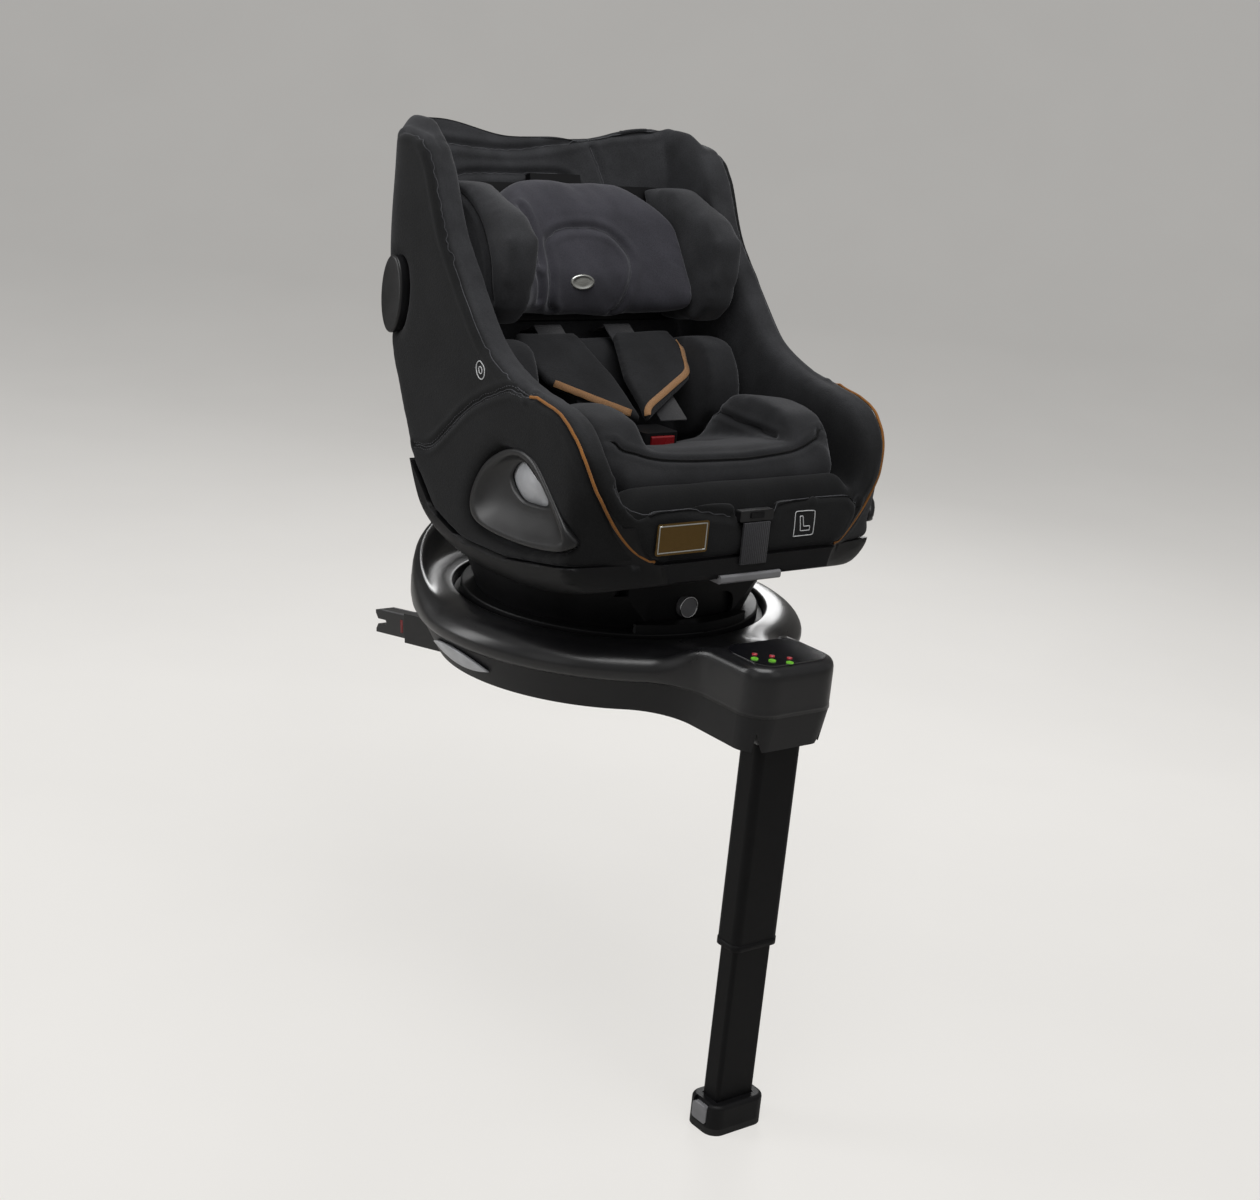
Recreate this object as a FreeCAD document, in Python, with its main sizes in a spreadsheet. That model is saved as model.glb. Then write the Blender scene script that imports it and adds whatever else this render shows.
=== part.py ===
import FreeCAD, Part
import math
import os
import re

# Swivelling infant and toddler car seat on a latch base with a load leg.
# Millimetres. Origin: swivel axis at the underside of the base. +Z up, the child faces -Y.

SIZES = [
    ("deck", 78, "top of the base ring above the underside"),
    ("rim_inner", 184, "radius of the well that holds the turntable"),
    ("rim_outer", 230, "widest radius of the base cover"),
    ("seam_radius", 220, "radius of the seam between housing and cover"),
    ("foot_radius", 197, "radius of the housing at the underside"),
    ("seam_level", 40, "height of the seam"),
    ("wall", 3, "wall of the moulded housings"),
    ("well_floor", 55, "top of the well floor"),
    ("rear_wall_inner", 225, "inner radius of the raised rear wall"),
    ("rear_wall_rise", 54, "rise of the rear wall above the deck"),
    ("console_half", 60, "half width of the front console"),
    ("console_front", 345, "reach of the console in front of the swivel axis"),
    ("console_top", 95, "top of the console"),
    ("console_blend", 80, "radius that blends the console into the ring"),
    ("channel_half", 44, "half width of the leg channel"),
    ("channel_roof", 48, "underside of the leg channel roof"),
    ("channel_rear", 205, "rear end of the leg channel"),
    ("leg_pivot_y", 308, "leg pivot in front of the swivel axis"),
    ("leg_pivot_z", 20, "leg pivot above the underside"),
    ("leg_pin_radius", 5, "leg pivot pin"),
    ("leg_width", 62, "outer leg tube across"),
    ("leg_depth", 36, "outer leg tube front to back"),
    ("leg_wall", 4, "outer leg tube wall"),
    ("leg_drop", 240, "lower end of the outer tube below the underside"),
    ("leg_slide_gap", 0.4, "clearance between the leg tubes"),
    ("inner_wall", 2.5, "inner leg tube wall"),
    ("inner_overlap", 60, "inner tube held in the outer tube"),
    ("leg_reach", 463, "sole of the foot below the underside"),
    ("foot_width", 78, "foot across"),
    ("foot_depth", 50, "foot front to back"),
    ("foot_tall", 36, "foot height"),
    ("sole_thick", 8, "rubber sole"),
    ("anchor_spacing", 280, "distance between the two latch anchors"),
    ("arm_width", 26, "latch arm across"),
    ("arm_tall", 28, "latch arm height"),
    ("arm_length", 196, "latch arm length"),
    ("arm_tip_y", 272, "tip of the latch arm behind the swivel axis"),
    ("arm_tip_z", -27, "centre of the arm tip above the underside"),
    ("arm_slope", 10, "downward slope of the arms in degrees"),
    ("anchor_gap_radius", 3.1, "radius of the jaw that closes on the anchor bar"),
    ("guide_wall", 3.5, "wall of the latch guides"),
    ("guide_gap", 0.5, "clearance of the arms in their guides"),
    ("disc_radius", 175, "visible turntable disc"),
    ("disc_flange", 182, "turntable flange in the well"),
    ("disc_top", 2, "disc above the deck"),
    ("cradle_half", 150, "carriage reach to the front"),
    ("cradle_rear", 100, "carriage reach to the rear"),
    ("cradle_base_radius", 158, "carriage radius at the disc"),
    ("cradle_top_radius", 192, "carriage radius at its top"),
    ("cradle_tall", 84, "carriage height before the cradle is cut"),
    ("recline_y", -45, "recline axis behind the swivel axis"),
    ("recline_z", 546, "recline axis above the deck"),
    ("recline_radius", 500, "underside of the seat from the recline axis"),
    ("recline_gap", 0.6, "clearance between the seat and its cradle"),
    ("button_radius", 13, "swivel release button"),
    ("button_level", 22, "swivel release button above the deck"),
    ("seat_half", 216, "half width of the seat"),
    ("seat_front", 243, "front of the seat"),
    ("wing_thick", 40, "thickness of the side wings"),
    ("shell_half", 196, "half width of the inner shell"),
    ("shell_wall", 6, "wall of the seat shell"),
    ("cover_wrap", 14, "padding over the edge of the shell"),
    ("lower_round", 40, "rounding of the lower side edges"),
    ("front_corner", 60, "plan radius of the front corners"),
    ("rear_corner", 70, "plan radius of the rear corners"),
    ("apex_y", 192, "rear of the top edge"),
    ("apex_z", 507, "top edge above the deck"),
    ("shoulder_y", -25, "elbow of the side wing"),
    ("shoulder_z", 297, "elbow height above the deck"),
    ("arm_z", 266, "height of the side arm"),
    ("back_foot_y", 70, "back rest surface at its lower end"),
    ("back_foot_z", 120, "lower end of the back rest"),
    ("back_angle", 20, "slope of the back rest in degrees"),
    ("cushion_thick", 30, "base cushion"),
    ("pad_gap", 0.6, "clearance between soft parts"),
    ("head_half", 165, "half width of the head support"),
    ("head_low", 294, "lower end of the head support"),
    ("head_high", 455, "upper end of the head support"),
    ("head_wing_thick", 40, "head support wing"),
    ("head_carrier", 10, "head support carrier plate"),
    ("belt_width", 38, "harness webbing"),
    ("belt_thick", 2, "harness webbing thickness"),
    ("handle_y", -90, "centre of the carry handle"),
    ("handle_z", 154, "centre of the carry handle above the deck"),
]

doc = FreeCAD.newDocument("car_seat")
sheet = doc.addObject("Spreadsheet::Sheet", "sizes")
for row, (alias, value, note) in enumerate(SIZES, 1):
    sheet.set(f"A{row}", alias)
    sheet.set(f"B{row}", str(value))
    sheet.set(f"C{row}", note)
    sheet.setAlias(f"B{row}", alias)
doc.recompute()
ALIASES = {alias for alias, _, _ in SIZES}
published = []


def size(alias):
    """Value of one cell of the sheet."""
    return float(getattr(sheet, alias))


def bind(item, **expressions):
    """Bind properties to formulas that name cells; x_of stands for Placement.Base.x."""
    paths = {"x_of": "Placement.Base.x", "y_of": "Placement.Base.y", "z_of": "Placement.Base.z"}
    for name, formula in expressions.items():
        text = re.sub(r"[a-z_]+", lambda word: f"sizes.{word[0]}" if word[0] in ALIASES else word[0],
                      str(formula))
        item.setExpression(paths.get(name, name), text)


def publish(item, label):
    """Register a finished sub-part under the name of its node."""
    item.Label = label
    published.append(item)
    return item


# ---------------------------------------------------------------- bodies made of bound features

AXIS_TURN = {
    "Z": FreeCAD.Rotation(),
    "X": FreeCAD.Rotation(FreeCAD.Vector(0, 1, 0), 90),
    "Y": FreeCAD.Rotation(FreeCAD.Vector(1, 0, 0), -90),
}


class Piece:
    """A PartDesign body built from bound primitives and fillets."""

    def __init__(self, label):
        self.body = doc.addObject("PartDesign::Body", label)
        publish(self.body, label)

    def box(self, kind, length, width, height, x, y, z):
        """Box of length along X, width along Y and height along Z, its low corner at x, y, z."""
        item = self.body.newObject(f"PartDesign::{kind}Box", f"{kind}Box")
        bind(item, Length=length, Width=width, Height=height, x_of=x, y_of=y, z_of=z)
        return item

    def cylinder(self, kind, radius, height, x, y, z, axis="Z"):
        """Cylinder that starts at x, y, z and runs along the axis."""
        item = self.body.newObject(f"PartDesign::{kind}Cylinder", f"{kind}Cylinder")
        item.Placement = FreeCAD.Placement(FreeCAD.Vector(), AXIS_TURN[axis])
        bind(item, Radius=radius, Height=height, x_of=x, y_of=y, z_of=z)
        return item

    def fillet(self, radius, pick):
        """Round the edges that pick() accepts."""
        doc.recompute()
        base = self.body.Tip
        names = [f"Edge{number}" for number, edge in enumerate(base.Shape.Edges, 1) if pick(edge)]
        item = self.body.newObject("PartDesign::Fillet", "Fillet")
        item.Base = (base, names)
        bind(item, Radius=radius)
        doc.recompute()
        return item


def turned(axis, degrees, point):
    """Placement that turns about an axis through a point."""
    pivot = FreeCAD.Vector(*point)
    rotation = FreeCAD.Rotation(FreeCAD.Vector(*axis), degrees)
    return FreeCAD.Placement(pivot - rotation.multVec(pivot), rotation)


def runs_along(axis):
    """Picker of straight edges that run along one axis."""
    def pick(edge):
        if not isinstance(edge.Curve, Part.Line):
            return False
        return abs(getattr(edge.Curve.Direction, axis)) > 0.999
    return pick


def lies_at(axis, level):
    """Picker of the edges that lie in one plane across an axis."""
    def pick(edge):
        box = edge.BoundBox
        low = getattr(box, f"{axis.upper()}Min")
        high = getattr(box, f"{axis.upper()}Max")
        return abs(low - level) < 0.01 and abs(high - level) < 0.01
    return pick


# ---------------------------------------------------------------- shapes made by functions

def feature(label, shape, lift=0.0):
    """Sub-part whose shape is made by a function; lift raises it from the deck frame."""
    item = doc.addObject("Part::Feature", label)
    item.Shape = shape
    item.Placement = FreeCAD.Placement(FreeCAD.Vector(0, 0, lift), FreeCAD.Rotation())
    return publish(item, label)


def closed_face(points):
    """Flat face through points given as vectors."""
    return Part.Face(Part.makePolygon([*points, points[0]]))


def side_prism(outline, x_low, x_high):
    """Solid with an outline in the Y-Z plane, from x_low to x_high."""
    face = closed_face([FreeCAD.Vector(x_low, y, z) for y, z in outline])
    return face.extrude(FreeCAD.Vector(x_high - x_low, 0, 0))


def plan_prism(outline, z_low, z_high):
    """Solid with an outline in the X-Y plane, from z_low to z_high."""
    face = closed_face([FreeCAD.Vector(x, y, z_low) for x, y in outline])
    return face.extrude(FreeCAD.Vector(0, 0, z_high - z_low))


def block(x_low, x_high, y_low, y_high, z_low, z_high):
    """Box between two corners."""
    corner = FreeCAD.Vector(x_low, y_low, z_low)
    return Part.makeBox(x_high - x_low, y_high - y_low, z_high - z_low, corner)


def mirrored(shape):
    """The same shape on the other side of the seat."""
    return shape.mirror(FreeCAD.Vector(), FreeCAD.Vector(1, 0, 0))


def rounded(shape, radius, pick):
    """Shape with the picked edges rounded."""
    return shape.makeFillet(radius, [edge for edge in shape.Edges if pick(edge)])


def arc_through(*points):
    """Circular edge through three points."""
    return Part.Arc(*[FreeCAD.Vector(*point) for point in points]).toShape()


def line_between(start, end):
    """Straight edge between two points."""
    return Part.LineSegment(FreeCAD.Vector(*start), FreeCAD.Vector(*end)).toShape()


# ---------------------------------------------------------------- base

def base_outline(radius, half, front, corner, level):
    """Round plan with a console: circle, blend, console side and rounded front corner."""
    blend = size("console_blend")
    blend_x = half + blend
    blend_y = -math.sqrt((radius + blend) ** 2 - blend_x ** 2)
    touch = radius / (radius + blend)
    half_way = (math.atan2(-blend_y, -blend_x) + math.pi) / 2
    slant = corner * (1 - math.sqrt(0.5))
    edges = []
    for side in (1, -1):
        on_ring = (side * touch * blend_x, touch * blend_y, level)
        bulge = (side * (blend_x + blend * math.cos(half_way)), blend_y + blend * math.sin(half_way), level)
        on_side = (side * half, blend_y, level)
        corner_start = (side * half, corner - front, level)
        corner_middle = (side * (half - slant), slant - front, level)
        corner_end = (side * (half - corner), -front, level)
        edges.append(arc_through(on_ring, bulge, on_side))
        edges.append(line_between(on_side, corner_start))
        edges.append(arc_through(corner_start, corner_middle, corner_end))
    edges.append(line_between((corner - half, -front, level), (half - corner, -front, level)))
    edges.append(arc_through((touch * blend_x, touch * blend_y, level), (0, radius, level),
                             (-touch * blend_x, touch * blend_y, level)))
    return Part.Wire(Part.__sortEdges__(edges))


def guide_block(side, extra, y_low, y_high):
    """Sloping box around one latch arm; extra is what it adds on each side."""
    centre_x = side * size("anchor_spacing") / 2
    half = size("arm_width") / 2 + extra
    tall = size("arm_tall") / 2 + extra
    tip_y = size("arm_tip_y")
    tip_z = size("arm_tip_z")
    solid = block(centre_x - half, centre_x + half, y_low, y_high, tip_z - tall, tip_z + tall)
    solid.Placement = turned((1, 0, 0), -size("arm_slope"), (0, tip_y, tip_z))
    return solid


def release_lens(extra):
    """Leaf outline of the latch release, pushed through the left wall of the housing."""
    half_long = 50 + extra
    half_tall = 11 + extra
    centre_y = -10
    centre_z = 24
    far = -size("rim_outer")
    low_front = (far, centre_y - half_long, centre_z - 4)
    top = (far, centre_y + 8, centre_z + half_tall)
    rear = (far, centre_y + half_long, centre_z + 2)
    bottom = (far, centre_y - 8, centre_z - half_tall)
    wire = Part.Wire([arc_through(low_front, top, rear), arc_through(rear, bottom, low_front)])
    return Part.Face(wire).extrude(FreeCAD.Vector(70, 0, 0))


CONSOLE_CORNER = 30
CONSOLE_TAPER = 8


def skirt(inset, low, high):
    """Tapered solid of the housing, inset from its outer face."""
    seam = size("seam_radius") - inset
    foot = size("foot_radius") - inset
    half = size("console_half")
    front = size("console_front")
    low_wire = base_outline(foot, half - CONSOLE_TAPER / 2 - inset, front - CONSOLE_TAPER - inset,
                            CONSOLE_CORNER - CONSOLE_TAPER / 2, low)
    high_wire = base_outline(seam, half - inset, front - inset, CONSOLE_CORNER, high)
    return Part.makeLoft([low_wire, high_wire], True, True)


GUIDE_FRONT = 60
GUIDE_REAR = 196


def base_housing():
    """Lower tub of the base with the leg channel, the guides and the release windows cut."""
    wall = size("wall")
    tub = skirt(0, 0, size("seam_level"))
    tub = tub.cut(skirt(wall, wall, size("seam_level") + 0.01))
    slot = size("channel_half") + wall
    tub = tub.cut(block(-slot, slot, wall + 6 - size("console_front"), size("channel_rear") + wall,
                        -1, size("seam_level") + 1))
    for side in (-1, 1):
        tub = tub.cut(guide_block(side, size("guide_gap") + size("guide_wall"), GUIDE_FRONT - 50,
                                  GUIDE_REAR + 60))
    window = release_lens(0.5)
    return tub.cut(window).cut(mirrored(window))


def channel_liner():
    """Trough that closes the leg channel off from the inside of the base."""
    half = size("channel_half")
    wall = size("wall")
    front = 60 - size("leg_pivot_y")
    rear = size("channel_rear")
    outer = block(-half - wall, half + wall, front, rear + wall, 0, size("channel_roof") + wall)
    inner = block(-half, half, front - 1, rear, -1, size("channel_roof"))
    skin = skirt(0, 0, size("seam_level"))
    high = block(-300, 300, -400, 400, size("seam_level"), 100)
    return outer.cut(inner).common(skin.fuse(high))


def cover_ring():
    """Round cover: fascia, shoulder and well floor in one turned shell."""
    deck = size("deck")
    wall = size("wall")
    well = size("rim_inner")
    outer = size("rim_outer")
    seam = size("seam_radius")
    level = size("seam_level")
    floor = size("well_floor")
    points = [(66, floor - wall), (well + wall, floor - wall), (well + wall, deck - 5),
              (outer - 22, deck - 9), (outer - 6, deck - 18), (seam - wall, level)]
    edges = [line_between((a[0], 0, a[1]), (b[0], 0, b[1])) for a, b in zip(points, points[1:])]
    edges.append(line_between((seam - wall, 0, level), (seam, 0, level)))
    edges.append(arc_through((seam, 0, level), (outer, 0, deck - 20), (outer - 8, 0, deck - 8)))
    upper = [(outer - 8, deck - 8), (well + 3, deck), (well, deck), (well, floor), (66, floor), points[0]]
    edges += [line_between((a[0], 0, a[1]), (b[0], 0, b[1])) for a, b in zip(upper, upper[1:])]
    face = Part.Face(Part.Wire(edges))
    return face.revolve(FreeCAD.Vector(), FreeCAD.Vector(0, 0, 1), 360)


def rear_wall():
    """Raised wall behind the turntable, its top sloping up to the rear."""
    inner = size("rear_wall_inner")
    deck = size("deck")
    rise = size("rear_wall_rise")
    outer = inner + 11
    ring = Part.makeCylinder(outer, rise + 20, FreeCAD.Vector(0, 0, deck - 20))
    ring = ring.cut(Part.makeCylinder(inner, rise + 22, FreeCAD.Vector(0, 0, deck - 21)))
    slope = [(30, deck - 8), (outer - 20, deck + rise), (outer + 5, deck + rise), (outer + 5, deck - 12),
             (30, deck - 12)]
    return ring.common(side_prism(slope, -outer, outer))


def base_cover():
    """Cover ring with the rear wall and the hollow console."""
    wall = size("wall")
    half = size("console_half")
    front = size("console_front")
    level = size("seam_level")
    top = size("console_top")
    seam = size("seam_radius")
    flank = half + 30
    console = Part.Face(base_outline(seam, half, front, CONSOLE_CORNER, level))
    console = console.extrude(FreeCAD.Vector(0, 0, top - level))
    console = rounded(console, 8, lies_at("z", top))
    rear = -size("rim_inner") - 4
    console = console.common(block(-flank, flank, -front - 1, rear, level, top))
    inner_wire = base_outline(seam - wall, half - wall, front - wall, CONSOLE_CORNER - wall, level - 1)
    hollow = Part.Face(inner_wire).extrude(FreeCAD.Vector(0, 0, top - wall - level + 1))
    hollow = hollow.common(block(wall - flank, flank - wall, -front, rear - wall, level - 1, top))
    well = Part.makeCylinder(size("rim_inner") + 2, 60, FreeCAD.Vector(0, 0, size("well_floor")))
    shell = cover_ring().fuse(rear_wall()).fuse(console.cut(well))
    shell = shell.cut(hollow.cut(Part.makeCylinder(size("rim_inner"), 200)))
    liner_half = size("channel_half") + wall + 0.3
    return shell.cut(block(-liner_half, liner_half, -260, -160, 30, size("channel_roof") + wall + 0.3))


def leg_bracket():
    """Yoke that carries the leg pivot inside the console."""
    pivot_y = -size("leg_pivot_y")
    pivot_z = size("leg_pivot_z")
    inner = size("leg_width") / 2 + 1
    outer = inner + 5
    top = size("channel_roof") + 22
    ceiling = size("console_top") - size("wall") - 0.3
    yoke = block(-outer, outer, pivot_y - 20, pivot_y + 22, 6, ceiling)
    yoke = yoke.cut(block(-inner, inner, pivot_y - 21, pivot_y + 23, 5, top))
    pin = Part.makeCylinder(size("leg_pin_radius"), 200, FreeCAD.Vector(-100, pivot_y, pivot_z),
                            FreeCAD.Vector(1, 0, 0))
    return yoke.cut(pin)


def latch_guide(side):
    """Sleeve that one latch arm slides in."""
    sleeve = guide_block(side, size("guide_gap") + size("guide_wall"), GUIDE_FRONT, GUIDE_REAR)
    return sleeve.cut(guide_block(side, size("guide_gap"), GUIDE_FRONT - 5, GUIDE_REAR + 5))


def latch_arm(side):
    """Sliding arm with an open jaw for the anchor bar."""
    tip = size("arm_tip_y")
    arm = guide_block(side, 0, tip - size("arm_length"), tip)
    radius = size("anchor_gap_radius")
    spacing = size("anchor_spacing") / 2
    seat_y = tip - 22
    low = side * spacing - 30
    tip_z = size("arm_tip_z")
    jaw = Part.makeCylinder(radius, 60, FreeCAD.Vector(low, seat_y, tip_z), FreeCAD.Vector(1, 0, 0))
    slot = block(low, low + 60, seat_y, tip + 1, tip_z - radius, tip_z + radius)
    flare = side_prism([(tip - 8, tip_z), (tip + 1, tip_z + 11), (tip + 1, tip_z - 11)], low, low + 60)
    tool = jaw.fuse(slot).fuse(flare)
    tool.Placement = turned((1, 0, 0), -size("arm_slope"), (0, tip, tip_z))
    return arm.cut(tool)


def release_button():
    """Leaf-shaped press plate that follows the wall of the housing."""
    shell = skirt(-1.2, 0, size("seam_level")).cut(skirt(size("wall"), -1, size("seam_level") + 1))
    return release_lens(0).common(shell)


feature("base_housing", base_housing())
feature("leg_channel_liner", channel_liner())
feature("base_cover", base_cover())
feature("leg_bracket", leg_bracket())
feature("latch_guide_left", latch_guide(1))
feature("latch_guide_right", latch_guide(-1))
feature("latch_arm_left", latch_arm(1))
feature("latch_arm_right", latch_arm(-1))
feature("latch_release_right", release_button())
feature("latch_release_left", mirrored(release_button()))

panel = Piece("indicator_panel")
panel.box("Additive", "2 * console_half - 24", "72", "1.5", "12 - console_half",
          "8 - console_front", "console_top")
panel.fillet("20", runs_along("z"))
for number in range(3):
    light = Piece(f"status_light_{number + 1}")
    light.cylinder("Additive", "4", "1", f"{14 * number - 40}", f"{34 - 12 * number} - console_front",
                   "console_top + 1.5")

pin = Piece("leg_pivot_pin")
pin.cylinder("Additive", "leg_pin_radius", "leg_width + 12", "-leg_width / 2 - 6", "-leg_pivot_y",
             "leg_pivot_z", "X")
pin.fillet("1", lambda edge: edge.Length > 20 and edge.Closed)

bearing = Piece("turntable_bearing")
bearing.cylinder("Additive", "100", "3", "0", "0", "well_floor")
bearing.cylinder("Subtractive", "84", "5", "0", "0", "well_floor - 1")

# ---------------------------------------------------------------- load leg

outer_tube = Piece("leg_outer_tube")
outer_tube.box("Additive", "leg_width", "leg_depth", "leg_drop + leg_pivot_z", "-leg_width / 2",
               "-leg_pivot_y - leg_depth / 2", "-leg_drop")
outer_tube.cylinder("Additive", "leg_depth / 2", "leg_width", "-leg_width / 2", "-leg_pivot_y",
                    "leg_pivot_z", "X")
outer_tube.fillet("9", lambda edge: runs_along("z")(edge) and edge.Length > 50)
outer_tube.box("Subtractive", "leg_width - 2 * leg_wall", "leg_depth - 2 * leg_wall", "leg_drop",
               "leg_wall - leg_width / 2", "leg_wall - leg_pivot_y - leg_depth / 2", "-leg_drop - 1")
outer_tube.cylinder("Subtractive", "leg_pin_radius + 0.05", "leg_width + 2", "-leg_width / 2 - 1",
                    "-leg_pivot_y",
                    "leg_pivot_z", "X")
outer_tube.box("Subtractive", "24.6", "leg_wall + 2", "16.6", "-12.3",
               "leg_depth / 2 - leg_wall - leg_pivot_y - 1",
               "60 - leg_drop")

inner_tube = Piece("leg_inner_tube")
inner_tube.box("Additive", "leg_width - 2 * (leg_wall + leg_slide_gap)",
               "leg_depth - 2 * (leg_wall + leg_slide_gap)",
               "leg_reach - leg_drop - foot_tall / 2 + inner_overlap",
               "leg_wall + leg_slide_gap - leg_width / 2",
               "leg_wall + leg_slide_gap - leg_pivot_y - leg_depth / 2", "foot_tall / 2 - leg_reach")
inner_tube.fillet("5", runs_along("z"))
inner_tube.box("Subtractive", "leg_width - 2 * (leg_wall + leg_slide_gap + inner_wall)",
               "leg_depth - 2 * (leg_wall + leg_slide_gap + inner_wall)", "leg_reach",
               "leg_wall + leg_slide_gap + inner_wall - leg_width / 2",
               "leg_wall + leg_slide_gap + inner_wall - leg_pivot_y - leg_depth / 2",
               "foot_tall / 2 - leg_reach - 1")

leg_button = Piece("leg_height_button")
leg_button.box("Additive", "24", "leg_wall - 0.5", "16", "-12",
               "leg_depth / 2 - leg_wall - leg_pivot_y + 2.8",
               "60.3 - leg_drop")
leg_button.fillet("3", runs_along("y"))

foot = Piece("leg_foot")
foot.box("Additive", "foot_width", "foot_depth", "foot_tall - sole_thick", "-foot_width / 2",
         "-leg_pivot_y - foot_depth / 2", "sole_thick - leg_reach")
foot.fillet("16", runs_along("z"))
foot.fillet("5", lies_at("z", size("foot_tall") - size("leg_reach")))
foot.box("Subtractive", "leg_width - 2 * (leg_wall + leg_slide_gap)",
         "leg_depth - 2 * (leg_wall + leg_slide_gap)",
         "foot_tall", "leg_wall + leg_slide_gap - leg_width / 2",
         "leg_wall + leg_slide_gap - leg_pivot_y - leg_depth / 2", "foot_tall / 2 - leg_reach")
foot.box("Subtractive", "6", "24.4", "foot_tall", "-foot_width / 2 - 1", "-leg_pivot_y - 12.2",
         "sole_thick + 3 - leg_reach")

foot_cap = Piece("foot_end_cap")
foot_cap.box("Additive", "6", "24", "foot_tall - sole_thick - 8", "-foot_width / 2 - 1",
             "-leg_pivot_y - 12",
             "sole_thick + 3 - leg_reach")
foot_cap.fillet("4", runs_along("x"))

sole = Piece("foot_sole")
sole.box("Additive", "foot_width", "foot_depth", "sole_thick", "-foot_width / 2",
         "-leg_pivot_y - foot_depth / 2",
         "-leg_reach")
sole.fillet("16", runs_along("z"))

# ---------------------------------------------------------------- turntable and carriage

disc = Piece("turntable_disc")
disc.cylinder("Additive", "disc_flange", "8", "0", "0", "well_floor + 3.4")
disc.cylinder("Additive", "disc_radius", "deck + disc_top - well_floor - 3.4", "0", "0", "well_floor + 3.4")
disc.fillet("2",
            lambda edge: edge.Closed and abs(edge.BoundBox.ZMin - size("deck") - size("disc_top")) < 0.1)


def cradle_cylinder(gap):
    """Solid swept by the seat's underside, grown by a gap."""
    axis_start = FreeCAD.Vector(-300, size("recline_y"), size("recline_z"))
    return Part.makeCylinder(size("recline_radius") + gap, 600, axis_start, FreeCAD.Vector(1, 0, 0))


def carriage():
    """Flared carriage whose top is hollowed for the reclining seat."""
    low = size("disc_top")
    half = size("cradle_half")
    body = Part.makeCone(size("cradle_base_radius"), size("cradle_top_radius"), size("cradle_tall"),
                         FreeCAD.Vector(0, 0, low))
    body = body.common(block(-300, 300, -half, size("cradle_rear"), low, 200))
    body = body.cut(cradle_cylinder(size("recline_gap")))
    skin = 8
    core = Part.makeCone(size("cradle_base_radius") - skin, size("cradle_top_radius") - skin,
                         size("cradle_tall"), FreeCAD.Vector(0, 0, low - 1))
    core = core.common(block(-300, 300, skin + 16 - half, size("cradle_rear") - skin, low - 1, 200))
    core = core.cut(cradle_cylinder(size("recline_gap") + skin))
    for side in (-1, 1):
        core = core.cut(rail_sector(side, size("recline_gap") + 5, -30, 30))
    body = body.cut(core)
    level = size("button_level")
    recess = block(-62, 62, -half - 1, 8 - half, level - 15, level + 15)
    recess = rounded(recess, 12, runs_along("y"))
    body = body.cut(recess)
    bore = Part.makeCylinder(size("button_radius") + 0.4, 26, FreeCAD.Vector(0, -half + 2, level),
                             FreeCAD.Vector(0, 1, 0))
    body = body.cut(bore)
    for side in (-1, 1):
        body = body.cut(rail_sector(side, size("recline_gap"), -30, 30))
    return body


def rail_sector(side, gap, front_angle, rear_angle):
    """Curved guide rib under the seat between two angles about the recline axis."""
    radius = size("recline_radius")
    centre = FreeCAD.Vector(side * 95 - 6 - gap, size("recline_y"), size("recline_z"))
    width = 12 + 2 * gap
    rib = Part.makeCylinder(radius + 12 + gap, width, centre, FreeCAD.Vector(1, 0, 0))
    rib = rib.cut(Part.makeCylinder(radius, width, centre, FreeCAD.Vector(1, 0, 0)))
    far = 700
    wedge = [(size("recline_y"), size("recline_z"))]
    for angle in (front_angle, rear_angle):
        turn = math.radians(angle)
        wedge.append((size("recline_y") + far * math.sin(turn), size("recline_z") - far * math.cos(turn)))
    return rib.common(side_prism(wedge, -300, 300))


def front_bumper():
    """Raised bar on the disc in front of the carriage."""
    low = size("disc_top")
    outer = size("disc_radius") - 1
    bar = Part.makeCylinder(outer, 10, FreeCAD.Vector(0, 0, low))
    bar = bar.cut(Part.makeCylinder(outer - 16, 10, FreeCAD.Vector(0, 0, low)))
    return bar.common(block(-78, 78, -300, -size("cradle_half") - 0.5, low, low + 10))


feature("carriage", carriage(), size("deck"))
feature("front_bumper", front_bumper(), size("deck"))

swivel = Piece("swivel_button")
swivel.cylinder("Additive", "button_radius", "14", "0", "1.5 - cradle_half", "deck + button_level", "Y")
swivel.fillet("2", lambda edge: edge.Closed and abs(edge.BoundBox.YMin - 1.5 + size("cradle_half")) < 0.1)

# ---------------------------------------------------------------- seat: outline and frames

def arc_level(y):
    """Height of the seat's curved underside at one place along Y."""
    offset = y - size("recline_y")
    return size("recline_z") - math.sqrt(size("recline_radius") ** 2 - offset ** 2)


def spline(points):
    """Smooth edge through points given in the Y-Z plane."""
    curve = Part.BSplineCurve()
    curve.interpolate([FreeCAD.Vector(0, y, z) for y, z in points])
    return curve.toShape()


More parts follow.
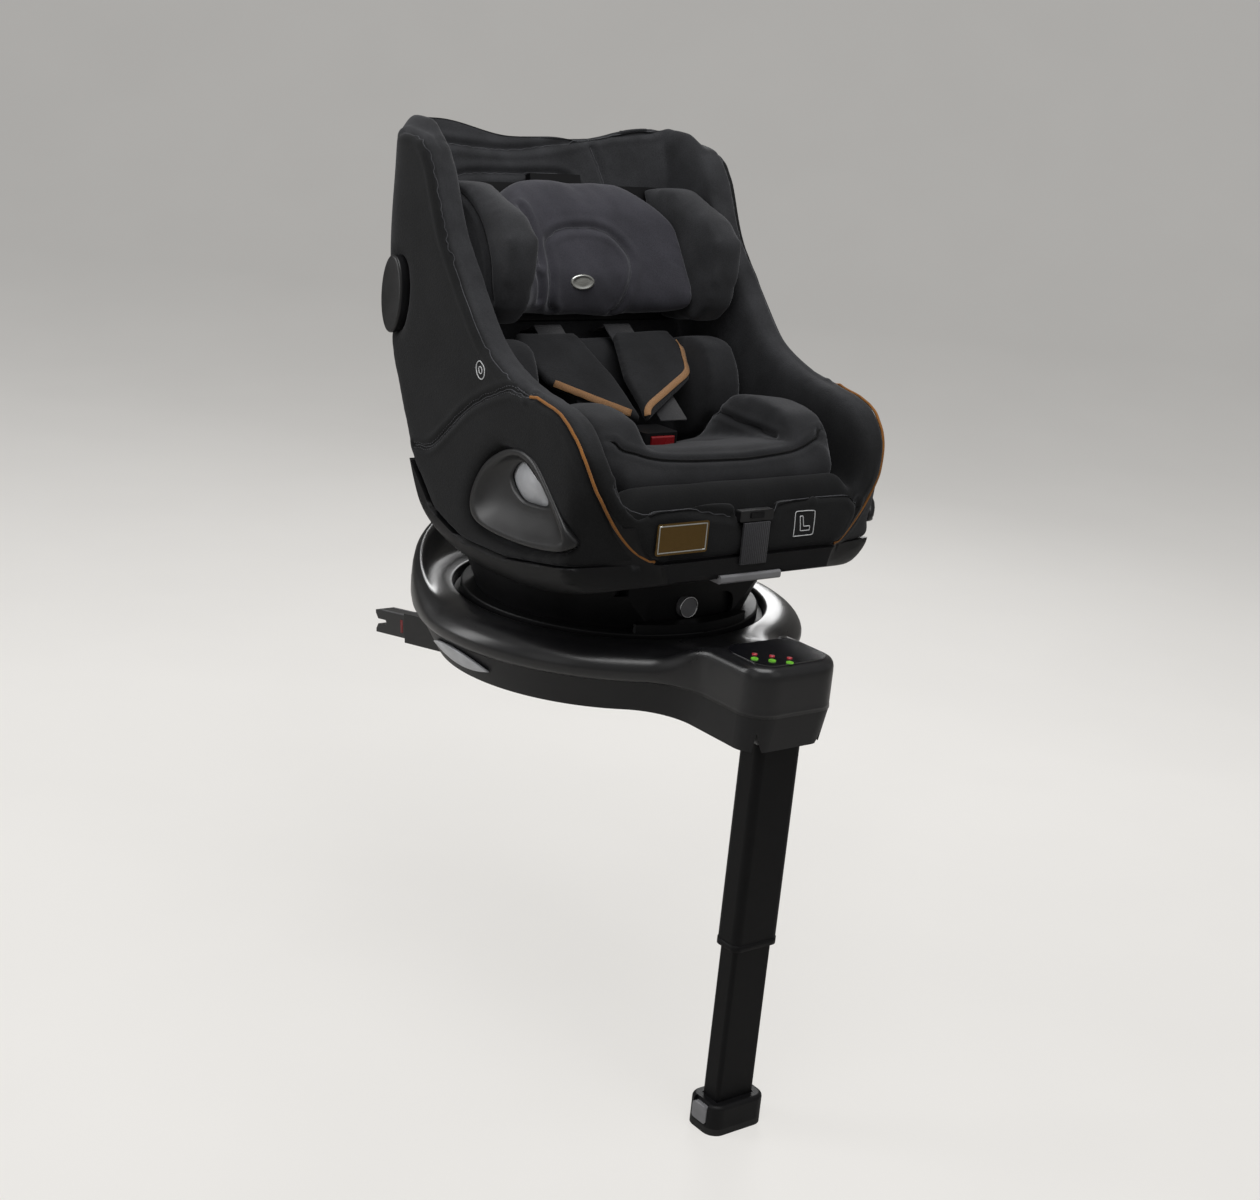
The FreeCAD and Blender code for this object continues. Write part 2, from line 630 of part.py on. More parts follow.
def seat_profile():
    """Side view of the whole bucket as a flat face at x = 0."""
    front = -size("seat_front")
    arm = size("arm_z")
    elbow_y = size("shoulder_y")
    elbow_z = size("shoulder_z")
    top_y = size("apex_y")
    top_z = size("apex_z")
    rear_start = (-20, arc_level(-20))
    front_low = (front, arc_level(front))
    middle_y = (rear_start[0] + front) / 2
    rise = [(front, arm - 101), (front + 18, arm - 61), (front + 61, arm - 16), (front + 138, arm),
            (elbow_y - 32, elbow_z - 16), (elbow_y, elbow_z), (elbow_y + 43, elbow_z + 40),
            (top_y - 139, top_z - 129), (top_y - 112, top_z - 89), (top_y - 80, top_z - 29),
            (top_y - 57, top_z - 7)]
    fall = [(top_y, top_z), (top_y + 28, top_z - 14), (top_y + 34, top_z - 40), (top_y + 13, top_z - 153),
            (top_y - 13, top_z - 240), (top_y - 69, top_z - 345), (86, 101), (25, 62)]
    edges = [arc_through((0, *rear_start), (0, middle_y, arc_level(middle_y)), (0, *front_low)),
             line_between((0, *front_low), (0, *rise[0])), spline(rise),
             line_between((0, *rise[-1]), (0, *fall[0])), spline(fall),
             line_between((0, *fall[-1]), (0, *rear_start))]
    return Part.Face(Part.Wire(edges))


def profile_prism(x_low, x_high, move_y=0.0, move_z=0.0):
    """Side profile between two X values, shifted along Y and Z."""
    face = seat_profile()
    face.translate(FreeCAD.Vector(x_low, move_y, move_z))
    return face.extrude(FreeCAD.Vector(x_high - x_low, 0, 0))


def plan_limit():
    """Rounded plan of the bucket."""
    half = size("seat_half")
    front = size("seat_front")
    rear = size("apex_y") + 44
    limit = block(-half, half, -front, rear, 0, 700)
    limit = rounded(limit, size("front_corner"),
                    lambda edge: runs_along("z")(edge) and edge.BoundBox.YMin < 0)
    return rounded(limit, size("rear_corner"),
                   lambda edge: runs_along("z")(edge) and edge.BoundBox.YMin > rear - 1)


def back_point(along, ahead):
    """Point of the Y-Z plane: along the back rest from its foot, and ahead of its surface."""
    slope = math.radians(size("back_angle"))
    return (size("back_foot_y") + along * math.sin(slope) - ahead * math.cos(slope),
            size("back_foot_z") + along * math.cos(slope) + ahead * math.sin(slope))


def on_back(outline, x_low, x_high):
    """Prism whose outline is given along and ahead of the back rest."""
    return side_prism([back_point(along, ahead) for along, ahead in outline], x_low, x_high)


HARNESS_TOP = (78, 295)
HARNESS_SLOPE = 34.8


def on_harness(outline, low, high):
    """Plate parallel to the harness: outline across and down the belts, between two offsets."""
    plate = plan_prism(outline, low, high)
    frame = FreeCAD.Rotation(FreeCAD.Vector(1, 0, 0), HARNESS_SLOPE)
    plate.Placement = FreeCAD.Placement(FreeCAD.Vector(0, *HARNESS_TOP), frame)
    return plate


def fabric_edge():
    """Region of the moulded band below the fabric."""
    front = -size("seat_front") - 10
    return side_prism([(front, 110), (front + 77, 96), (front + 169, 80), (front + 250, 77), (60, 96),
                       (120, 150), (300, 200), (300, 0), (front, 0)], -300, 300)


def handle_outline(grow):
    """Rounded triangle of the carry handle, as a list of Y-Z points."""
    centre_y = size("handle_y")
    centre_z = size("handle_z")
    corners = [(-112, -32), (-30, -54), (77, -30), (60, 12), (6, 46), (-14, 38)]
    points = []
    for y, z in corners:
        reach = math.hypot(y, z)
        points.append((centre_y + y * (1 + grow / reach), centre_z + z * (1 + grow / reach)))
    return points


def handle_prism(grow, x_low, x_high):
    """Smooth prism of the handle outline."""
    curve = Part.BSplineCurve()
    points = [FreeCAD.Vector(x_low, y, z) for y, z in handle_outline(grow)]
    curve.interpolate(Points=points, PeriodicFlag=True)
    face = Part.Face(Part.Wire([curve.toShape()]))
    return face.extrude(FreeCAD.Vector(x_high - x_low, 0, 0))


def handle_hole(x_low, x_high):
    """Grip opening in the middle of the handle bezel."""
    y = size("handle_y")
    z = size("handle_z")
    hole = side_prism([(y - 58, z), (y - 30, z - 10), (y + 8, z - 8), (y + 8, z + 14), (y - 4, z + 32)],
                      x_low, x_high)
    return rounded(hole, 4, runs_along("x"))


def liner_block(grow, x_low, x_high):
    """Rounded panel behind the grip opening."""
    y = size("handle_y")
    z = size("handle_z")
    panel_solid = block(x_low, x_high, y - 66 - grow, y + 16 + grow, z - 18 - grow, z + 40 + grow)
    return rounded(panel_solid, 10, runs_along("x"))


def pod_prism(grow, x_low, x_high):
    """Oval prism of the side impact pod."""
    centre = FreeCAD.Vector(x_low, size("apex_y") - 26, size("apex_z") - 185)
    major = centre + FreeCAD.Vector(0, 0, 44 + grow)
    minor = centre + FreeCAD.Vector(0, 22 + grow, 0)
    ellipse = Part.Ellipse(major, minor, centre)
    face = Part.Face(Part.Wire([ellipse.toShape()]))
    return face.extrude(FreeCAD.Vector(x_high - x_low, 0, 0))


# ---------------------------------------------------------------- seat: shell and covers

def rim_cutter():
    """Turned cutter that rounds the lower side edge of the bucket along the recline arc."""
    half = size("seat_half")
    radius = size("recline_radius")
    round_off = size("lower_round")
    axis_y = size("recline_y")
    axis_z = size("recline_z")
    inner_x = half - round_off
    slant = round_off * math.sqrt(0.5)
    start = (half + 5, axis_y, axis_z - radius + round_off)
    edges = [arc_through((inner_x, axis_y, axis_z - radius), (inner_x + slant, axis_y, axis_z - radius
                                                             + round_off - slant),
                         (half, axis_y, axis_z - radius + round_off)),
             line_between((half, axis_y, axis_z - radius + round_off), start),
             line_between(start, (half + 5, axis_y, axis_z - radius - 5)),
             line_between((half + 5, axis_y, axis_z - radius - 5), (inner_x, axis_y, axis_z - radius - 5)),
             line_between((inner_x, axis_y, axis_z - radius - 5), (inner_x, axis_y, axis_z - radius))]
    face = Part.Face(Part.Wire(edges))
    return face.revolve(FreeCAD.Vector(0, axis_y, axis_z), FreeCAD.Vector(1, 0, 0), 360)


bucket = profile_prism(-size("seat_half"), size("seat_half")).common(plan_limit())
bucket = bucket.cut(rim_cutter()).cut(mirrored(rim_cutter()))


def seat_shell():
    """Moulded shell: floor and rear plate, side plates, front wall and the band below the fabric."""
    half = size("shell_half")
    wall = size("shell_wall")
    front = size("seat_front")
    wrap = size("cover_wrap")
    top = size("apex_z") - 37
    tray = bucket.common(block(-half, half, -400, 400, 0, top))
    tray = tray.cut(profile_prism(-half, half, -wall, wall))
    shell = tray
    for side in (-1, 1):
        low = half - wall if side > 0 else -half
        plate = profile_prism(low, low + wall).common(profile_prism(low, low + wall, wrap, -wrap))
        plate = plate.common(bucket)
        shell = shell.fuse(plate)
    band = bucket.common(fabric_edge()).cut(block(-half, half, 8 - front, 400, 0, 700))
    wall_front = block(-half, half, 8 - front, wrap + 3 - front, 70, 148).common(bucket)
    shell = shell.fuse(band).fuse(wall_front)
    notch = block(-44, 44, -front - 5, 29 - front, 60, 90.5)
    shell = shell.cut(notch)
    for side in (-1, 1):
        low = -size("seat_half") - 1 if side < 0 else half - wall - 1
        grip = handle_hole(low, low + size("seat_half") - half + wall + 2)
        shell = shell.cut(grip)
        bezel = handle_prism(0.4, low, low + 21) if side < 0 else handle_prism(0.4, low + 7, low + 28)
        shell = shell.cut(bezel)
    return shell.removeSplitter()


shell_solid = seat_shell()


def side_pad(side):
    """Padded wing over the side plate of the shell, with room for the handle and the pod."""
    half = size("seat_half")
    inner = half - size("wing_thick")
    low, high = (inner, half) if side > 0 else (-half, -inner)
    pad = bucket.common(block(low, high, -400, 400, 0, 700)).cut(fabric_edge())
    pad = pad.cut(shell_solid)
    face = side * half
    reach = side * size("shell_half")
    near, far = min(face * 1.05, reach), max(face * 1.05, reach)
    pad = pad.cut(handle_prism(0.4, near, far))
    plate_inner = side * (size("shell_half") - size("shell_wall"))
    liner_inner = plate_inner - side * 3
    pad = pad.cut(liner_block(0.4, min(plate_inner, liner_inner), max(plate_inner, liner_inner)))
    pod_inner = side * (size("shell_half") + 1)
    pad = pad.cut(pod_prism(0.5, min(face * 1.05, pod_inner), max(face * 1.05, pod_inner)))
    solids = sorted(pad.Solids, key=lambda solid: solid.Volume)
    return solids[-1]


def handle_bezel():
    """Moulded surround of the right carry handle with its grip opening."""
    half = size("seat_half")
    surround = handle_prism(0, -half - 2, -size("shell_half"))
    surround = surround.cut(handle_prism(-14, -half - 3, -half + 9))
    return surround.cut(handle_hole(-half - 3, -size("shell_half") + 1))


def handle_liner():
    """Thin panel that closes the handle recess on the inside."""
    inner = -size("shell_half") + size("shell_wall")
    return liner_block(0, inner + 0.3, inner + 2.7)


def side_pod():
    """Oval side impact pod, stowed in the right wing."""
    half = size("seat_half")
    pod = pod_prism(0, -half - 7, -size("shell_half") - 1.5)
    return rounded(pod, 3, lambda edge: abs(edge.BoundBox.XMin + half + 7) < 0.01
                   and abs(edge.BoundBox.XMax + half + 7) < 0.01)


def back_pad():
    """Padding of the back rest, wrapped over the top of the shell."""
    inner = size("seat_half") - size("wing_thick") - size("pad_gap")
    behind = on_back([(-40, 0), (500, 0), (500, -300), (-40, -300)], -inner, inner)
    pad = bucket.common(behind).cut(fabric_edge()).cut(shell_solid)
    return sorted(pad.Solids, key=lambda solid: solid.Volume)[-1]


def seat_cushion():
    """Base cushion on the floor of the shell."""
    inner = size("seat_half") - size("wing_thick") - 2
    front = size("seat_front")
    thick = size("cushion_thick")
    top = [(19 - front, 150), (23 - front, 157), (93 - front, 164), (size("back_foot_y") - 10, 121)]
    low = [(size("back_foot_y") - 16, 122 - thick), (93 - front, 164 - 2 * thick), (19 - front, 104)]
    return side_prism(top + low, -inner, inner)


def front_panel():
    """Padded panel across the front, with the belt adjuster opening."""
    inner = size("seat_half") - size("wing_thick") - size("pad_gap")
    front = size("seat_front")
    panel_solid = bucket.common(block(-inner, inner, -front - 1, 8 - front, 60, 160)).cut(fabric_edge())
    panel_solid = panel_solid.cut(block(-24, 24, -front - 2, 9 - front, 146, 161))
    return panel_solid.cut(shell_solid)


def cushion_level(y):
    """Top of the base cushion at one place along Y, behind its front roll."""
    front_y = 93 - size("seat_front")
    rear_y = size("back_foot_y") - 10
    return 164 + (y - front_y) * (121 - 164) / (rear_y - front_y)


def seat_insert():
    """Infant seat insert: front roll and side rolls on the cushion, with the buckle opening."""
    gap = size("pad_gap")
    front_y = 45 - size("seat_front")
    roll = side_prism([(front_y, 161), (front_y - 4, 190), (front_y + 8, 208), (front_y + 55, 205),
                       (0, 172), (18, 152), (14, cushion_level(14) + gap), (-150, 164 + gap)], -148, 148)
    shape = roll
    for side in (-1, 1):
        low = 100 if side > 0 else -158
        bolster = side_prism([(front_y + 20, 166), (front_y + 20, 215), (front_y + 45, 240), (-105, 246),
                              (-55, 236), (-18, 195), (-10, cushion_level(-10) + gap), (-150, 164 + gap)],
                             low, low + 58)
        shape = shape.fuse(bolster)
    return shape.cut(block(-26, 26, -80, -20, 100, 260)).removeSplitter()


def back_insert():
    """Infant back insert: centre pad with a side bolster on each side."""
    gap = size("pad_gap")
    centre = on_back([(36, gap), (36, 34), (150, 34), (164, 22), (166, gap)], -120, 120)
    shape = centre
    for side in (-1, 1):
        low = 119 if side > 0 else -169
        shape = shape.fuse(on_back([(32, gap), (34, 60), (60, 100), (100, 110), (138, 103), (154, 78),
                                    (158, gap)], low, low + 50))
    return shape.removeSplitter()


def shoulder_pad(side):
    """Harness pad that narrows to a point above the buckle."""
    outline = [(side * 28, -4), (side * 108, -2), (side * 116, -32), (side * 100, -80), (side * 5, -141),
               (side * 9, -70)]
    pad = on_harness(outline, -12, 0)
    return rounded(pad, 3, lambda edge: edge.Length > 20 and lies_off_axis(edge))


def lies_off_axis(edge):
    """True for the straight edges of the top face of a harness pad."""
    normal = FreeCAD.Vector(0, -math.sin(math.radians(HARNESS_SLOPE)),
                            math.cos(math.radians(HARNESS_SLOPE)))
    origin = FreeCAD.Vector(0, *HARNESS_TOP)
    return all(abs((vertex.Point - origin).dot(normal)) < 0.01 for vertex in edge.Vertexes)


def shoulder_belt(side):
    """Webbing from the back rest over the insert and down to the buckle."""
    half = size("belt_width") / 2
    thick = size("belt_thick")
    low = side * 50 - half
    run = on_harness([(low, 20), (low + 2 * half, 20), (low + 2 * half, -136), (low, -136)],
                     -12.6 - thick, -12.6)
    feed = on_back([(172, size("pad_gap")), (172, 33), (172 + thick, 33), (172 + thick, size("pad_gap"))],
                   low, low + 2 * half)
    return run.fuse(feed).removeSplitter()


deck_height = size("deck")
feature("seat_shell", shell_solid, deck_height)
feature("side_pad_right", side_pad(-1), deck_height)
feature("side_pad_left", side_pad(1), deck_height)
feature("handle_bezel_right", handle_bezel(), deck_height)
feature("handle_bezel_left", mirrored(handle_bezel()), deck_height)
feature("handle_liner_right", handle_liner(), deck_height)
feature("handle_liner_left", mirrored(handle_liner()), deck_height)
feature("side_pod_right", side_pod(), deck_height)
feature("side_pod_left", mirrored(side_pod()), deck_height)
feature("recline_rib_right", rail_sector(-1, 0, -10, 3), deck_height)
feature("recline_rib_left", rail_sector(1, 0, -10, 3), deck_height)
feature("back_pad", back_pad(), deck_height)
feature("seat_cushion", seat_cushion(), deck_height)
feature("front_panel", front_panel(), deck_height)
feature("seat_insert", seat_insert(), deck_height)
feature("back_insert", back_insert(), deck_height)
feature("shoulder_pad_right", shoulder_pad(-1), deck_height)
feature("shoulder_pad_left", shoulder_pad(1), deck_height)
feature("shoulder_belt_right", shoulder_belt(-1), deck_height)
feature("shoulder_belt_left", shoulder_belt(1), deck_height)

# ---------------------------------------------------------------- seat: hardware

plate = Piece("name_plate")
plate.box("Additive", "68", "1.2", "34", "-133", "-seat_front - 1.5", "deck + 119")
plate.fillet("3", runs_along("y"))

buckle = Piece("buckle")
buckle.box("Additive", "48", "42", "44", "-24", "-70", "deck + 160")
buckle.fillet("6", runs_along("z"))
buckle.box("Subtractive", "32.8", "12", "14.8", "-16.4", "-74", "deck + 186")

press = Piece("buckle_button")
press.box("Additive", "32", "7", "14", "-16", "-72", "deck + 186.4")
press.fillet("2", runs_along("x"))

crotch = Piece("crotch_strap")
crotch.box("Additive", "30", "4", "15", "-15", "-52", "deck + 144.8")

bezel = Piece("adjuster_bezel")
bezel.box("Additive", "46", "9", "12", "-23", "-seat_front - 1.2", "deck + 147")
bezel.box("Subtractive", "18.6", "12", "6.6", "-9.3", "-seat_front - 3", "deck + 150.2")
bezel.fillet("2", lambda edge: runs_along("y")(edge) and abs(abs(edge.BoundBox.XMin) - 23) < 0.1)

trigger = Piece("adjuster_button")
trigger.box("Additive", "18", "7.5", "6", "-9", "-seat_front - 2.5", "deck + 150.5")
trigger.fillet("1", runs_along("y"))

strap = Piece("adjuster_strap")
strap.box("Additive", "36", "3", "46", "-18", "-seat_front - 3.6", "deck + 100")

handle = Piece("recline_handle")
handle.box("Additive", "84", "24", "9.5", "-42", "-seat_front - 3", "deck + 80.4")
handle.fillet("3", runs_along("x"))

# ---------------------------------------------------------------- head support

def head_carrier():
    """Sliding plate that carries the head support on the back rest."""
    gap = size("pad_gap")
    reach = size("head_high") - size("head_low")
    start = (size("head_low") - size("back_foot_z")) / math.cos(math.radians(size("back_angle")))
    thick = size("head_carrier")
    return on_back([(start, gap), (start, gap + thick), (start + reach, gap + thick), (start + reach, gap)],
                   -size("head_half") + 15, size("head_half") - 15)


def head_wing(side):
    """Deep padded wing of the head support."""
    outer = size("head_half")
    thick = size("head_wing_thick")
    low = outer - thick if side > 0 else -outer
    base = size("head_carrier") + 2 * size("pad_gap")
    outline = [(186, base), (177, 60), (168, 82), (180, 112), (215, 135), (248, 148), (283, 128),
               (332, 68), (345, base)]
    return on_back(outline, low, low + thick)


def head_insert():
    """Soft centre cushion of the head support."""
    base = size("head_carrier") + 2 * size("pad_gap")
    half = size("head_half") - size("head_wing_thick") - 3
    return on_back([(190, base), (188, 50), (204, 64), (325, 58), (342, 40), (344, base)], -half, half)


def head_release():
    """Squeeze bar on top of the head support."""
    thick = size("head_carrier")
    start = (size("head_low") - size("back_foot_z")) / math.cos(math.radians(size("back_angle")))
    start += size("head_high") - size("head_low")
    return on_back([(start + 0.5, 1), (start + 0.5, thick + 1), (start + 12, thick + 1),
                    (start + 12, 1)], -36, 36)


feature("head_carrier", head_carrier(), deck_height)
feature("head_wing_right", head_wing(-1), deck_height)
feature("head_wing_left", head_wing(1), deck_height)
feature("head_insert", head_insert(), deck_height)
feature("head_release", head_release(), deck_height)

# ---------------------------------------------------------------- checks and files

doc.recompute()
for item in doc.Objects:
    if "Invalid" in item.State or "Error" in item.State:
        raise RuntimeError(f"{item.Label} did not rebuild: {item.State}")
for item in published:
    if item.Shape.isNull() or not item.Shape.isValid() or not item.Shape.Solids:
        raise RuntimeError(f"{item.Label} has no valid solid")

os.makedirs("parts", exist_ok=True)
for item in published:
    item.Shape.exportStep(f"parts/{item.Label}.step")
    print(f"{item.Label}: {len(item.Shape.Solids)} solid(s), {item.Shape.Volume / 1000:.1f} cm3")
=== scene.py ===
import math

import bmesh
import bpy
import numpy as np
from bpy.props import FloatProperty, FloatVectorProperty, PointerProperty
from mathutils import Matrix, Vector
from mathutils.bvhtree import BVHTree
from mathutils.kdtree import KDTree


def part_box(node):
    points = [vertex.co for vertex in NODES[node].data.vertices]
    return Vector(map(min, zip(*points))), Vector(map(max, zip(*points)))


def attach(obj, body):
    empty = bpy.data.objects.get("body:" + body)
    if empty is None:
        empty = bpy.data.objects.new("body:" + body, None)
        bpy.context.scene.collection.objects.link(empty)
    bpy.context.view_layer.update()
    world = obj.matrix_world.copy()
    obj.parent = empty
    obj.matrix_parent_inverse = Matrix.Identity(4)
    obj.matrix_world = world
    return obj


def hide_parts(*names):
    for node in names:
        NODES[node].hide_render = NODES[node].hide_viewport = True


bl_info = {
    "name": "Swivel car seat looks",
    "version": (1, 0, 0),
    "blender": (4, 5, 0),
    "location": "3D View > Sidebar > Car seat",
    "description": "Covers, cushions, mouldings and finishes of a swivelling child seat",
    "category": "Object",
}

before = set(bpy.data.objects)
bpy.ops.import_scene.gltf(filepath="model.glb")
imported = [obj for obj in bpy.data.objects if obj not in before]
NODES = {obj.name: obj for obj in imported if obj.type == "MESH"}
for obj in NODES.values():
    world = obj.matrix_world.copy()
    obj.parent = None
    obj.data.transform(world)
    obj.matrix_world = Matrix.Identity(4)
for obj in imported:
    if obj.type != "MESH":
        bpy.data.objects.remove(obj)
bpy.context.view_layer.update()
DECK = 78  # millimetres from the underside of the base to the turntable deck


# ---------------------------------------------------------------- sizes and colours to change

def colour(name, description, default):
    """Colour property, linear values."""
    return FloatVectorProperty(name=name, description=description, default=default, subtype="COLOR",
                               size=3, min=0.0, max=1.0)


def length(name, description, default):
    """Length property in metres."""
    return FloatProperty(name=name, description=description, default=default, unit="LENGTH",
                         precision=4, min=0.0)


class SeatColours(bpy.types.PropertyGroup):
    """Colours of the covers and mouldings."""
    cover: colour("Side cover", "Knit cover on the outside", (0.0062, 0.0064, 0.0068))
    wing: colour("Wing band", "Cover on the front of the wings and the back rest", (0.0300, 0.0306, 0.0335))
    insert: colour("Infant insert", "Jersey of the inserts", (0.0160, 0.0163, 0.0180))
    head: colour("Head cushion", "Soft jersey of the head cushion", (0.0460, 0.0450, 0.0555))
    piping: colour("Piping", "Copper piping on the wings", (0.30, 0.125, 0.030))
    band: colour("Pad band", "Tan ribbon on the harness pads", (0.36, 0.185, 0.075))
    plate: colour("Plate", "Blank bronze plate", (0.20, 0.125, 0.045))
    moulding: colour("Moulding", "Satin moulded parts", (0.0080, 0.0080, 0.0088))
    base: colour("Base", "Glossier moulded base", (0.0085, 0.0085, 0.0095))
    pale: colour("Pale parts", "Release plates and handle liners", (0.50, 0.51, 0.53))
    grey: colour("Grey parts", "Buttons and the recline bar", (0.20, 0.20, 0.21))


class SeatSizes(bpy.types.PropertyGroup):
    """Sizes of the sewn detail."""
    voxel: length("Cloth cell", "Cell size of the padded forms", 0.005)
    seam_width: length("Seam width", "Half width of a sewn channel", 0.0036)
    seam_depth: length("Seam depth", "Depth of a sewn channel", 0.0024)
    thread: length("Thread", "Radius of the seam thread", 0.00045)
    stitch: length("Stitch length", "Length of one stitch", 0.0030)
    pitch: length("Stitch pitch", "Distance between stitches", 0.0042)
    piping: length("Piping radius", "Radius of the piping", 0.0017)


class StageSettings(bpy.types.PropertyGroup):
    """Studio around the seat."""
    floor: colour("Floor", "Colour of the studio floor", (0.72, 0.705, 0.68))
    key: FloatProperty(name="Key light", description="Power of the overhead softbox", default=38.0,
                       min=0.0, unit="POWER")
    rim: FloatProperty(name="Rim lights", description="Power of the two rear softboxes", default=20.0,
                       min=0.0, unit="POWER")
    fill: FloatProperty(name="Fill light", description="Power of the front softbox", default=2.6,
                        min=0.0, unit="POWER")


def colours():
    """Colour settings of the scene."""
    return bpy.context.scene.seat_colours


def sizes():
    """Size settings of the scene."""
    return bpy.context.scene.seat_sizes


def place(x, y, z):
    """Point in metres, from millimetres about the swivel axis at deck level."""
    return Vector((x, y, z + DECK)) / 1000


def path(rows):
    """List of points in metres, from millimetres at deck level."""
    return [place(*row) for row in rows]


# ---------------------------------------------------------------- meshes

def piece(name, vertices, faces, finish):
    """New smooth mesh object at the origin."""
    mesh = bpy.data.meshes.new(name)
    mesh.from_pydata([tuple(v) for v in vertices], [], faces)
    mesh.validate()
    return adopt(name, mesh, finish)


def adopt(name, mesh, finish):
    """Object for a mesh, shaded smooth, with one material."""
    item = bpy.data.objects.new(name, mesh)
    bpy.context.scene.collection.objects.link(item)
    mesh.materials.clear()
    mesh.materials.append(finish)
    mesh.polygons.foreach_set("material_index", [0] * len(mesh.polygons))
    mesh.polygons.foreach_set("use_smooth", [True] * len(mesh.polygons))
    return item


def bake(item):
    """Apply every modifier of an object."""
    graph = bpy.context.evaluated_depsgraph_get()
    graph.update()
    mesh = bpy.data.meshes.new_from_object(item.evaluated_get(graph))
    item.modifiers.clear()
    item.data = mesh


def outward(item):
    """Merge doubles and point every face outwards."""
    form = bmesh.new()
    form.from_mesh(item.data)
    bmesh.ops.remove_doubles(form, verts=form.verts, dist=1e-6)
    bmesh.ops.recalc_face_normals(form, faces=form.faces)
    form.to_mesh(item.data)
    form.free()


def finer(item, levels=1):
    """Subdivide smoothly and apply."""
    modifier = item.modifiers.new("Finer", "SUBSURF")
    modifier.levels = modifier.render_levels = levels
    bake(item)


def bevelled(item, width, segments=2, angle=35):
    """Bevel the hard edges and apply."""
    modifier = item.modifiers.new("Edge", "BEVEL")
    modifier.width = width
    modifier.segments = segments
    modifier.limit_method = "ANGLE"
    modifier.angle_limit = math.radians(angle)
    modifier.harden_normals = False
    bake(item)


def corners(item):
    """Vertex places as an array."""
    values = np.zeros(len(item.data.vertices) * 3)
    item.data.vertices.foreach_get("co", values)
    return values.reshape(-1, 3)


def directions(item):
    """Vertex normals as an array."""
    values = np.zeros(len(item.data.vertices) * 3)
    item.data.vertices.foreach_get("normal", values)
    return values.reshape(-1, 3)


def move_corners(item, values):
    """Write vertex places back."""
    item.data.vertices.foreach_set("co", np.asarray(values, float).ravel())
    item.data.update()


def mirrored(item, name):
    """Copy of a piece on the other side of the seat, facing outwards."""
    mesh = item.data.copy()
    other = bpy.data.objects.new(name, mesh)
    bpy.context.scene.collection.objects.link(other)
    values = corners(other)
    values[:, 0] *= -1
    move_corners(other, values)
    mesh.flip_normals()
    return other


def joined(name, items, finish=None):
    """One object from several meshes; the sources are removed."""
    form = bmesh.new()
    for item in items:
        form.from_mesh(item.data)
    mesh = bpy.data.meshes.new(name)
    form.to_mesh(mesh)
    form.free()
    material = finish or items[0].data.materials[0]
    for item in items:
        bpy.data.objects.remove(item)
    return adopt(name, mesh, material)


def node_copy(name, *nodes):
    """Merged copy of CAD nodes."""
    form = bmesh.new()
    for node in nodes:
        form.from_mesh(NODES[node].data)
    bmesh.ops.remove_doubles(form, verts=form.verts, dist=1e-5)
    mesh = bpy.data.meshes.new(name)
    form.to_mesh(mesh)
    form.free()
    item = bpy.data.objects.new(name, mesh)
    bpy.context.scene.collection.objects.link(item)
    return item


def prism(outline, direction, name="prism"):
    """Closed prism of a flat outline, extruded along a direction."""
    count = len(outline)
    low = [Vector(point) for point in outline]
    high = [point + Vector(direction) for point in low]
    faces = [list(range(count))[::-1], [count + i for i in range(count)]]
    faces += [[i, (i + 1) % count, count + (i + 1) % count, count + i] for i in range(count)]
    item = piece(name, low + high, faces, None)
    outward(item)
    return item


def smooth_line(points, step=0.003, closed=False):
    """Evenly spaced points on a smooth curve through the given ones."""
    points = [np.array(point, float) for point in points]
    if closed:
        chain = [points[-1], *points, points[0], points[1]]
    else:
        chain = [2 * points[0] - points[1], *points, 2 * points[-1] - points[-2]]
    dense = []
    for a, b, c, d in zip(chain, chain[1:], chain[2:], chain[3:]):
        for t in np.linspace(0, 1, 24, endpoint=False):
            dense.append(0.5 * (2 * b + (c - a) * t + (2 * a - 5 * b + 4 * c - d) * t * t
                                + (3 * b - a - 3 * c + d) * t ** 3))
    dense.append(chain[-2])
    dense = np.array(dense)
    gaps = np.linalg.norm(np.diff(dense, axis=0), axis=1)
    run = np.concatenate([[0], np.cumsum(gaps)])
    count = max(4, int(run[-1] / step) + 1)
    wanted = np.linspace(0, run[-1], count)
    line = np.stack([np.interp(wanted, run, dense[:, axis]) for axis in range(3)], axis=1)
    return line[:-1] if closed else line


def surface_of(*items):
    """Search tree of the faces of one or more pieces."""
    form = bmesh.new()
    for item in items:
        form.from_mesh(item.data)
    tree = BVHTree.FromBMesh(form)
    form.free()
    return tree


def laid_on(tree, line, lift=0.0, rounds=2):
    """The line moved to the nearest surface and lifted off it, with the surface normals."""
    line = np.array(line, float)
    for _ in range(rounds):
        found = [tree.find_nearest(Vector(point)) for point in line]
        line = np.array([spot + side * lift for spot, side, _, _ in found])
        if len(line) > 4:
            line[1:-1] = (line[:-2] + 2 * line[1:-1] + line[2:]) / 4
    sides = np.array([tree.find_nearest(Vector(point))[1] for point in line])
    if len(sides) > 4:
        sides[1:-1] = (sides[:-2] + sides[1:-1] + sides[2:]) / 3
    return line, sides / np.linalg.norm(sides, axis=1, keepdims=True)


def tangents(line, closed=False):
    """Unit directions along a line."""
    if closed:
        along = np.roll(line, -1, 0) - np.roll(line, 1, 0)
    else:
        along = np.gradient(line, axis=0)
    return along / np.maximum(np.linalg.norm(along, axis=1, keepdims=True), 1e-9)


